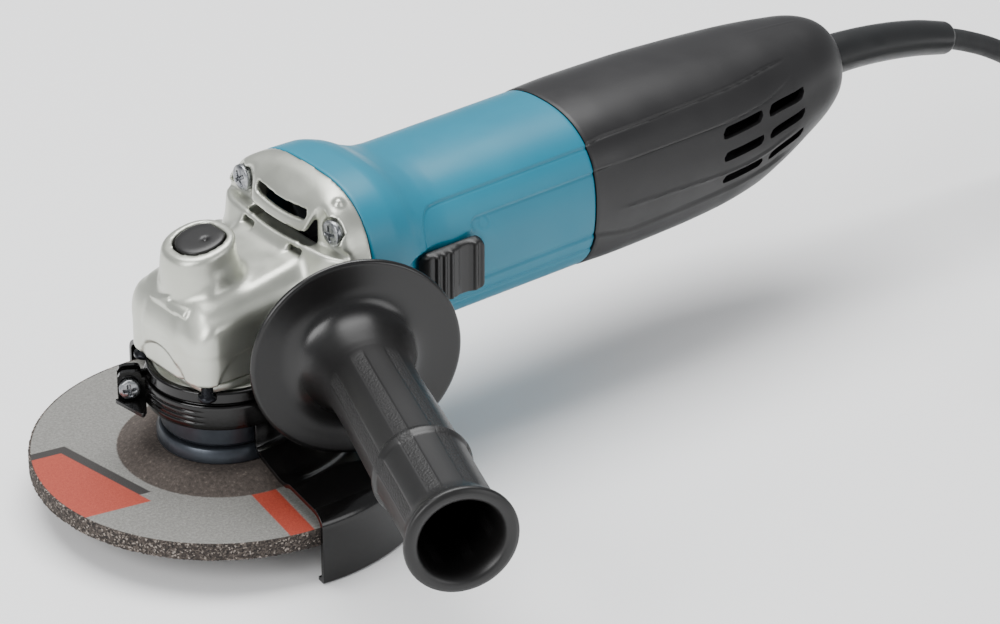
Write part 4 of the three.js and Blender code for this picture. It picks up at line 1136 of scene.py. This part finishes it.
# %% Guard
GUARD_LOW = low("wheel_guard")[2]
guard_outline = rounded_outline([
    [23.2, 27], [23.2, 18.4, 1.5], [24.6, 17.1, 1.0], [38, 14.6, 1.5], [42, 14.6, 1.5],
    [45, 15.8, 1.5], [63.4, 15.2, 2.5], [67, 12.2, 2.2], [67, GUARD_LOW, 0.9],
    [63.4, GUARD_LOW, 0.3], [63.4, GUARD_LOW + 1.4, 0.3], [65.4, GUARD_LOW + 1.8, 0.5],
    [65.4, 11.6, 1.4], [62.6, 13.6, 1.6], [45.4, 14.2, 1.0], [42.4, 13, 1.0], [37.8, 13, 1.0],
    [24, 15.5, 0.8], [22, 17.6, 1.0], [22, 27],
])
guard = turned("guard_shell", guard_outline, count=181, start=-98, sweep=180)
neck = turned("guard_neck", [[22, 26.2], [23.2, 26.2], [23.2, 35.4], [22, 35.4]], bevel=0.2)
gloss = plain_finish("gloss_black_enamel", "#090808", 0.18, sheen=(18, 3, 0.12, 0.22),
                     tooth=[(1.6, 2, 0.012)], Specular_IOR_Level=0.4)
finish(guard, "guard", "gloss_paint", gloss, "wheel_guard")
finish(neck, "guard", "gloss_paint", gloss)
collar = turned("neck_collar", [[21.7, 35.7], [23.4, 35.7], [23.9, 36.1], [23.9, 39.4],
                [23.4, 39.9], [21.7, 39.9]], bevel=0.2)
finish(collar, "housing", "gloss_paint", gloss)

# %% [markdown]
# The clamp band is a strip bent almost all the way round the guard's neck, with two lugs that a
# screw draws together, and a small foot below them. The strip's plan is one outline, an outer and
# an inner arc joined at the lugs, raised through its height. Three shallow grooves stiffen it, so
# its outer arc is pulled in by a little at three heights.
# %% Clamp band
def standing(plan, turn):
    """Points of a plan [x, y, z] turned about the spindle's line by an angle in degrees."""
    c, s = math.cos(math.radians(turn)), math.sin(math.radians(turn))
    x, y = plan[..., 0], plan[..., 1]
    return np.stack([c * x - s * y, s * x + c * y, plan[..., 2]], -1)


BAND_AT = 148
LUG_OUT, LUG_GAP, LUG_WIDE = 33.0, 1.4, 3.0
band_in, band_out = 23.5, 24.7
sweep_out = np.arcsin(LUG_WIDE / band_out) + np.linspace(
    0, 2 * np.pi - 2 * np.arcsin(LUG_WIDE / band_out), 160)
sweep_in = (np.arcsin(LUG_GAP / band_in) + np.linspace(
    0, 2 * np.pi - 2 * np.arcsin(LUG_GAP / band_in), 160))[::-1]
levels = np.r_[26.8, 27.2, np.linspace(28.2, 34.0, 40), 34.8, 35.2]
rows = []
for level in levels:
    near_lugs = (bump(0.35, 0.5, sweep_out) * (1 - bump(1.0, 1.3, sweep_out))
                 + bump(4.9, 5.2, sweep_out) * (1 - bump(5.8, 5.95, sweep_out)))
    groove = near_lugs * sum(line_at(level, place, 0.55) for place in (29.2, 31.1, 33.0))
    eased = 0.25 if level in (levels[0], levels[-1]) else 0
    out_r = band_out - 0.4 * groove - eased
    outer = np.stack([out_r * np.cos(sweep_out), out_r * np.sin(sweep_out)], 1)
    inner = np.stack([band_in * np.cos(sweep_in), band_in * np.sin(sweep_in)], 1)
    plan = np.vstack([[[LUG_OUT, LUG_GAP], [LUG_OUT, LUG_WIDE]], outer,
                      [[LUG_OUT, -LUG_WIDE], [LUG_OUT, -LUG_GAP]], inner])
    rows.append(np.c_[plan, np.full(len(plan), level)])
band = surface("clamp_band", standing(np.array(rows), BAND_AT), ends=("flat", "flat"))
band.data.set_sharp_from_angle(angle=math.radians(35))
finish(band, "guard", "gloss_paint", gloss, "guard_clamp_band")

foot_plan = rounded_outline([[24.2, 3.0, 0.2], [34.5, 3.0, 1.6], [25.4, 14.5, 1.6],
                             [24.3, 11, 0.2]])
foot = np.array([np.c_[foot_plan, np.full(len(foot_plan), z)] for z in (26.8, 28.2)])
foot = surface("clamp_foot", standing(foot, BAND_AT), ends=("flat", "flat"), smooth=False)
ease_edges(foot, "eased_edges", 0.2)
finish(foot, "guard", "gloss_paint", gloss)
for lug_y in (-(LUG_GAP + LUG_WIDE) / 2, (LUG_GAP + LUG_WIDE) / 2):
    half_thick = (LUG_WIDE - LUG_GAP) / 2
    lug_plan = rounded_outline([[25.4, 26.8, 0.2], [LUG_OUT, 26.8, 1.2], [LUG_OUT, 37.5, 3.0],
                                [25.4, 37.5, 2.0]])
    lug = np.array([np.stack([lug_plan[:, 0], np.full(len(lug_plan), lug_y + side_at * half_thick),
                              lug_plan[:, 1]], 1) for side_at in (-1.02, 1.02)])
    lug = surface("clamp_lug", standing(lug, BAND_AT), ends=("flat", "flat"), smooth=False)
    finish(lug, "guard", "gloss_paint", gloss)
c, s = math.cos(math.radians(BAND_AT)), math.sin(math.radians(BAND_AT))
CLAMP_R, CLAMP_Z = 29.3, 32.1
HEAD_OUT = 3.4
clamp_at = (CLAMP_R * c - HEAD_OUT * s, CLAMP_R * s + HEAD_OUT * c, CLAMP_Z)
clamp_screw = cross_screw("clamp_screw", clamp_at, (-s, c, 0), 3.4, 2.3, 1.45, 8.0)
finish(clamp_screw, "guard", "bright_steel", screw_steel, "guard_clamp_screw")

# %% [markdown]
# ## Wheel
# The wheel is abrasive grain in resin, pressed with a depressed centre. A turned outline gives
# its shape. The rim is the only place where the grain shows in relief: there each point of a fine
# grid is set in by a random depth, from a seeded generator, so it is the same each time.
# %% Wheel
WHEEL_R, WHEEL_LOW, WHEEL_TOP = 62.5, 2.0, 8.0
HUB_TOP, HUB_LOW, BORE_R = 12.0, 6.0, 11.1
rim_z = np.linspace(WHEEL_LOW + 0.35, WHEEL_TOP - 0.35, 12)
under_r = np.linspace(WHEEL_R - 0.3, 34.2, 46)
top_r = np.linspace(34.4, WHEEL_R - 0.4, 40)
wheel_outline = np.vstack([
    [[BORE_R, HUB_TOP], [24.6, HUB_TOP], [26.0, HUB_TOP - 0.15], [27.0, HUB_TOP - 0.7]],
    [[32.4, WHEEL_TOP + 0.75], [33.4, WHEEL_TOP + 0.15]],
    np.c_[top_r, np.full_like(top_r, WHEEL_TOP)],
    np.c_[np.full_like(rim_z, WHEEL_R), rim_z[::-1]],
    np.c_[under_r, np.full_like(under_r, WHEEL_LOW)],
    [[33.2, WHEEL_LOW], [24, HUB_LOW], [BORE_R, HUB_LOW]],
])
WHEEL_TURNS = 620
turns = np.linspace(0, 2 * np.pi, WHEEL_TURNS, endpoint=False)
r = np.broadcast_to(wheel_outline[:, 0], (WHEEL_TURNS, len(wheel_outline))).copy()
z = np.broadcast_to(wheel_outline[:, 1], r.shape).copy()
rough = np.random.default_rng(7).random(r.shape) ** 2
on_rim = (r > WHEEL_R - 0.5) & (z < WHEEL_TOP - 0.2)
beneath = (z < WHEEL_LOW + 0.01) & (r > 34)
r = r - np.where(on_rim, 0.42 * rough, 0)
z = z + np.where(beneath, 0.3 * rough, 0)
wheel_grid = np.stack([np.cos(turns)[:, None] * r, np.sin(turns)[:, None] * r, z], -1)
wheel = surface("depressed_centre_wheel", wheel_grid, shell=True)
wheel.data.set_sharp_from_angle(angle=math.radians(55))


# %% [markdown]
# The wheel's colours are one node tree. The grain is a cell pattern of about 0.7 mm: each cell
# has its own brown, and a few are pale. The paper label lies on the flat of the top face, with
# the glass fibre showing through it. Its coloured fields have straight edges, so each field is a
# product of soft steps along directions in the wheel's plane.
# %% Wheel finish
def along_direction(tree, where, x, y, z=0):
    """Millimetres along a direction: the dot product of the place with 1000 (x, y, z)."""
    return put(tree, "ShaderNodeVectorMath", {0: where, 1: (1000 * x, 1000 * y, 1000 * z)},
               output="Value", operation="DOT_PRODUCT")


def above(tree, value, edge, soft=0.25):
    """1 where a value is above an edge, 0 below, with a soft border."""
    return put(tree, "ShaderNodeMapRange", {"Value": value, "From Min": edge - soft,
                                            "From Max": edge + soft})


def under(tree, value, edge, soft=0.25):
    """1 where a value is under an edge: above, with the ends of its border swapped."""
    return above(tree, value, edge, -soft)


def from_spindle(tree, where, scale):
    """Distance from the spindle's line, times a scale: the length of (x, y, 0) * scale."""
    flat = put(tree, "ShaderNodeVectorMath", {0: where, 1: (scale, scale, 0)},
               operation="MULTIPLY")
    return put(tree, "ShaderNodeVectorMath", {0: flat}, output="Value", operation="LENGTH")


def every(tree, *masks):
    """The product of masks."""
    whole = masks[0]
    for mask in masks[1:]:
        whole = put(tree, "ShaderNodeMath", {0: whole, 1: mask}, operation="MULTIPLY")
    return whole


def laid_over(tree, mask, lower, upper):
    """One colour over another where a mask is 1."""
    return put(tree, "ShaderNodeMix", {"Factor": mask, 6: lower, 7: upper}, output=2,
               data_type="RGBA")


grit, tree, shader, where = new_finish("resin_bonded_grit", "#57504b", 0.9)
cells = put(tree, "ShaderNodeTexVoronoi", {"Vector": where, "Scale": 1000 / 0.55}).node
shade = put(tree, "ShaderNodeSeparateColor", {"Color": cells.outputs["Color"]})
grain_colour = put(tree, "ShaderNodeValToRGB", {"Fac": shade},
                   stops=[(0.0, "#1c1816"), (0.45, "#352e2a"), (0.82, "#504842"),
                          (0.98, "#8d847c")])
hub_grain = put(tree, "ShaderNodeTexNoise", {"Vector": where, "Scale": 1000 / 1.1, "Detail": 4,
                                             "Roughness": 0.7})
hub_colour = put(tree, "ShaderNodeValToRGB", {"Fac": hub_grain},
                 stops=[(0.35, "#352f2b"), (0.6, "#4a423d"), (0.74, "#6d645c")])
radius = from_spindle(tree, where, 1000)
height = along_direction(tree, where, 0, 0, 1)
on_label = every(tree, above(tree, height, 7.8, 0.08), under(tree, height, 8.1, 0.05),
                 above(tree, radius, 34.2, 0.3), under(tree, radius, 61.6, 0.15))
upper_hub = above(tree, height, 8.05, 0.05)
fibre = put(tree, "ShaderNodeTexNoise", {"Vector": where, "Scale": 1000 / 0.9, "Detail": 5,
                                         "Roughness": 0.75})
paper = put(tree, "ShaderNodeValToRGB", {"Fac": fibre},
            stops=[(0.25, "#5b5a56"), (0.5, "#757470"), (0.75, "#8f8e8a")])
red = put(tree, "ShaderNodeValToRGB", {"Fac": fibre}, stops=[(0.3, "#8c2c1b"), (0.7, "#a5412d")])
PATCH_SLANT = 0.36
across = along_direction(tree, where, 0.990, 0.141)
slanted = along_direction(tree, where, 0.141 - PATCH_SLANT * 0.990,
                          -0.990 - PATCH_SLANT * 0.141)
patch = every(tree, under(tree, across, -40.6), above(tree, slanted, -17.9),
              under(tree, slanted, 24.4))
border = every(tree, under(tree, across, -36.9), above(tree, slanted, -21.7),
               under(tree, slanted, 19.0))
stroke = along_direction(tree, where, 0.985, -0.173)
toward = along_direction(tree, where, -0.173, -0.985)
bar = every(tree, above(tree, stroke, -6.2), under(tree, stroke, 2.1), above(tree, toward, 5.0))
printed = laid_over(tree, border, paper, linear("#272321"))
printed = laid_over(tree, patch, printed, red)
printed = laid_over(tree, bar, printed, red)
whole_colour = laid_over(tree, upper_hub, grain_colour, hub_colour)
whole_colour = laid_over(tree, on_label, whole_colour, printed)
tree.links.new(whole_colour, shader.inputs["Base Color"])
dulling = put(tree, "ShaderNodeMapRange", {"Value": on_label, "To Min": 0.92, "To Max": 0.62})
tree.links.new(dulling, shader.inputs["Roughness"])
fine = grain(tree, shader, cells.outputs["Distance"], 0.12, strength=0.5)
grain(tree, shader, fibre, 0.06, below=fine)
finish(wheel, "spindle", "abrasive", grit, "grinding_wheel")

# %% [markdown]
# The clamping pieces are turned steel, blackened in hot oil: a dark metal with a blue tinge. Fine
# turning marks run around them, so the roughness follows rings about the spindle's line.
# %% Flange, dust ring and nut
dark_steel, tree, shader, where = new_finish("blackened_steel", "#3c4046", 0.36, Metallic=0.7)
marks = put(tree, "ShaderNodeTexNoise", {"Vector": from_spindle(tree, where, 1), "Scale": 4000.0})
dulling = put(tree, "ShaderNodeMapRange", {"Value": marks, "From Min": 0.3, "From Max": 0.7,
                                           "To Min": 0.26, "To Max": 0.42})
tree.links.new(dulling, shader.inputs["Roughness"])
wander(tree, shader, where, tone=(9, 3, (0.3, "#35393f"), (0.7, "#444950")),
       tooth=[(0.8, 2, 0.008)])
FLANGE_LOW = HUB_TOP + 0.3
flange = turned("clamping_flange", [[7.3, 9.4], [10.8, 9.4], [10.8, FLANGE_LOW], [21.2, FLANGE_LOW],
                [21.2, 15.4], [20.2, 17.2], [7.3, 17.2]], bevel=0.35)
finish(flange, "spindle", "dark_steel", dark_steel, "inner_flange")
dust = turned("dust_cup", [[7.3, 17.5], [18.8, 17.5], [19.7, 18.6], [19.7, 25.7], [17.9, 25.7],
              [17.9, 24.4], [7.3, 24.4]], bevel=0.3)
finish(dust, "spindle", "dark_steel", dark_steel, "dust_ring")
nut = turned("wheel_nut", [[7.3, 1.0], [15.9, 1.0], [16.5, 1.6], [16.5, 5.7], [10.8, 5.7],
             [10.8, 8.9], [7.3, 8.9]], bevel=0.25)
finish(nut, "spindle", "dark_steel", dark_steel, "lock_nut")

# %% [markdown]
# ## Side handle
# The grip is one hard plastic moulding on a steel stud: a round hand guard, a waist, a long grip
# with a flared end, and a deep bore that keeps its wall even. Its outline is turned about the
# handle's own line. Eight smooth strips run along the grip between sunk, stippled panels, so
# the radius drops a little between the strips, and the strips fade out at both ends.
# %% Handle
handle_side = np.cross([0, 0, 1.0], handle_out)
STRIPS = 8


def on_handle(radius, along, angle):
    """Points at a radius and an angle around the handle's line, at a place along it."""
    ring = np.cos(angle)[..., None] * handle_side + np.sin(angle)[..., None] * np.array([0, 0, 1.0])
    return handle_disc + along[..., None] * handle_out + radius[..., None] * ring


outer_table = [
    [-6, 10.6], [-5.6, 11], [-3.9, 11.3], [-3.4, 11.6], [-3.1, 13], [-1.6, 31.6], [-1.2, 33.4],
    [-0.5, 34.2], [0.1, 34.3], [0.8, 33.9], [1.1, 33.2],
]
grip_table = [
    [1.1, 33.2], [0.85, 28], [0.95, 24], [1.7, 21], [3, 19], [6, 16.9], [9.5, 15.5], [14, 14.6],
    [18, 14.3], [30, 14.2], [50, 14.6], [71, 15.0], [72.2, 15.8], [73.2, 16.1], [74.4, 15.8],
    [76, 15.2], [90, 15.0], [104, 15.1], [108, 15.6], [111, 16.9], [112.8, 17.9], [114, 17.7],
    [114.7, 16.4],
]


def spaced(points, step):
    """A polyline through points, resampled at a step, with its corners eased by averaging."""
    points = np.array(points, float)
    path = np.c_[points, np.zeros(len(points))]
    return even_steps(smooth_path(path, step), step)[:, :2]


front = spaced(outer_table, 0.5)
grip_line = spaced(grip_table[:9], 0.6)
waist = np.linspace(18.4, 110, 150)
long_part = np.c_[waist, stations(grip_table[8:], waist)[:, 0]]
flare = spaced(grip_table[19:], 0.4)
mouth = np.array([[114.5, 14.6], [113.8, 13.6], [110, 12.8], [90, 12.7], [30, 12.6], [30, 4]])
outline = np.vstack([front, grip_line[1:], long_part, flare[1:], mouth])
angle = np.linspace(0, 2 * np.pi, 288, endpoint=False)
place, reach = outline[:, :1], outline[:, 1:]
strip = bump(-0.55, -0.25, np.cos(STRIPS * angle))[None]
on_grip = bump(19, 24, place) * (1 - bump(104, 108, place)) * (reach > 13.5)
collar = 1 - bump(1.6, 3.0, np.abs(place - 73.2))
sunk = 0.28 * (1 - strip) * on_grip * (1 - collar)
handle_grid = on_handle(reach - sunk, np.broadcast_to(place, sunk.shape),
                        np.broadcast_to(angle, sunk.shape))
handle = surface("side_grip", handle_grid, ends=(True, True))
handle.data.set_sharp_from_angle(angle=math.radians(60))

# %% [markdown]
# The grip's plastic is matt. The stipple on the sunk panels is a dense cell pattern, and its
# strength follows the angle around the handle, so the strips stay smooth. The hand guard's face
# keeps a little more gloss, because the mould was polished there.
# %% Handle finish
grip_black, tree, shader, where = new_finish("stippled_black_nylon", "#0b0a0a", 0.42)
from_disc = put(tree, "ShaderNodeVectorMath", {0: where, 1: tuple(handle_disc * MM)},
                operation="SUBTRACT")
sideways = along_direction(tree, from_disc, handle_side[0], handle_side[1])
outwards = along_direction(tree, from_disc, handle_out[0], handle_out[1])
upwards = along_direction(tree, from_disc, 0, 0, 1)
around = put(tree, "ShaderNodeMath", {0: upwards, 1: sideways}, operation="ARCTAN2")
turned_by = put(tree, "ShaderNodeMath", {0: around, 1: STRIPS}, operation="MULTIPLY")
wave = put(tree, "ShaderNodeMath", {0: turned_by}, operation="COSINE")
in_panel = every(tree, under(tree, wave, -0.5, 0.08), above(tree, outwards, 22.0, 2.0),
                 under(tree, outwards, 105.0, 2.0))
dots = put(tree, "ShaderNodeTexVoronoi", {"Vector": where, "Scale": 1000 / 0.8}, "Distance")
stipple = every(tree, dots, in_panel)
on_guard = under(tree, outwards, 6.0, 3.0)
roughening = put(tree, "ShaderNodeMath", {0: in_panel, 1: on_guard}, operation="SUBTRACT")
dulling = put(tree, "ShaderNodeMapRange", {"Value": roughening, "From Min": -1,
                                           "To Min": 0.27, "To Max": 0.55})
tree.links.new(dulling, shader.inputs["Roughness"])
fine = wander(tree, shader, where, tooth=[(0.5, 2, 0.012)])
grain(tree, shader, stipple, 0.16, below=fine)
finish(handle, "handle", "black_plastic", grip_black, "side_handle")

# %% [markdown]
# ## Finishes of the pieces inside
# The gears, shafts, windings and the rest keep their CAD meshes, because their sizes matter more
# than their looks and they sit in the dark. Each one still gets the finish it would have on a
# bench, from a short table: colour, metal share, roughness and the size of its surface pattern.
# %% Inside finishes
inside = {
    "ground_steel": ("#a3a5a8", 1.0, 0.24, 1.2, ("spindle", "lock_pin", "handle_stud", "pinion",
                     "armature_shaft", "lock_spring", "guard_clamp_nut", "spindle_lower_bearing",
                     "armature_front_bearing", "armature_rear_bearing")),
    "hardened_gear_steel": ("#5c6066", 1.0, 0.32, 0.9, ("bevel_gear",)),
    "sintered_bronze": ("#9a7446", 1.0, 0.45, 0.5, ("spindle_upper_bush",)),
    "stacked_sheet_steel": ("#7a7d82", 0.9, 0.45, 0.5, ("armature_core", "field_core")),
    "lacquered_copper_wire": ("#a85f33", 0.9, 0.3, 0.6, ("front_winding", "rear_winding",
                              "field_coil_upper", "field_coil_lower")),
    "commutator_copper": ("#b8794a", 1.0, 0.28, 0.8, ("commutator",)),
    "pressed_brass": ("#b79a53", 1.0, 0.34, 1.5, ("brush_holder_upper", "brush_holder_lower")),
    "brush_graphite": ("#2b2b2e", 0.0, 0.6, 0.4, ("carbon_brush_upper", "carbon_brush_lower")),
    "dark_glass_filled_nylon": ("#26292b", 0.0, 0.55, 0.7, ("cooling_fan", "air_baffle",
                                "switch_rod", "rear_tray", "switch_body", "cord_clamp")),
}


def inside_finish(name, code, metal, roughness, pattern_mm):
    """A plain finish whose tone and gloss both wander over a pattern of a given size."""
    base = np.array([int(code[k:k + 2], 16) for k in (1, 3, 5)])
    darker, lighter = ("#%02x%02x%02x" % tuple(np.clip(base * share, 0, 255).astype(int))
                       for share in (0.85, 1.12))
    return plain_finish(name, code, roughness,
                        tone=(pattern_mm, 3, (0.3, darker), (0.7, lighter)),
                        sheen=(pattern_mm, 3, roughness * 0.85, roughness * 1.2),
                        tooth=[(pattern_mm, 3, 0.01)], Metallic=metal)


for name, (code, metal, roughness, pattern_mm, members) in inside.items():
    coat(members, inside_finish(name, code, metal, roughness, pattern_mm))
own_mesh(nodes["lock_spring"])
print("inside finishes:", sum(len(row[-1]) for row in inside.values()), "nodes")

# %% [markdown]
# The box of the finished looks is measured against the CAD box, and the largest change is
# printed, so that any piece that has grown past the CAD model shows up.
# %% Sizes and finish
seen_box = [list(map(float, corner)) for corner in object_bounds()]
growth = np.abs(np.array(seen_box) - np.array(cad_box)).max() / MM
print("largest change of the box:", round(float(growth), 2), "mm")
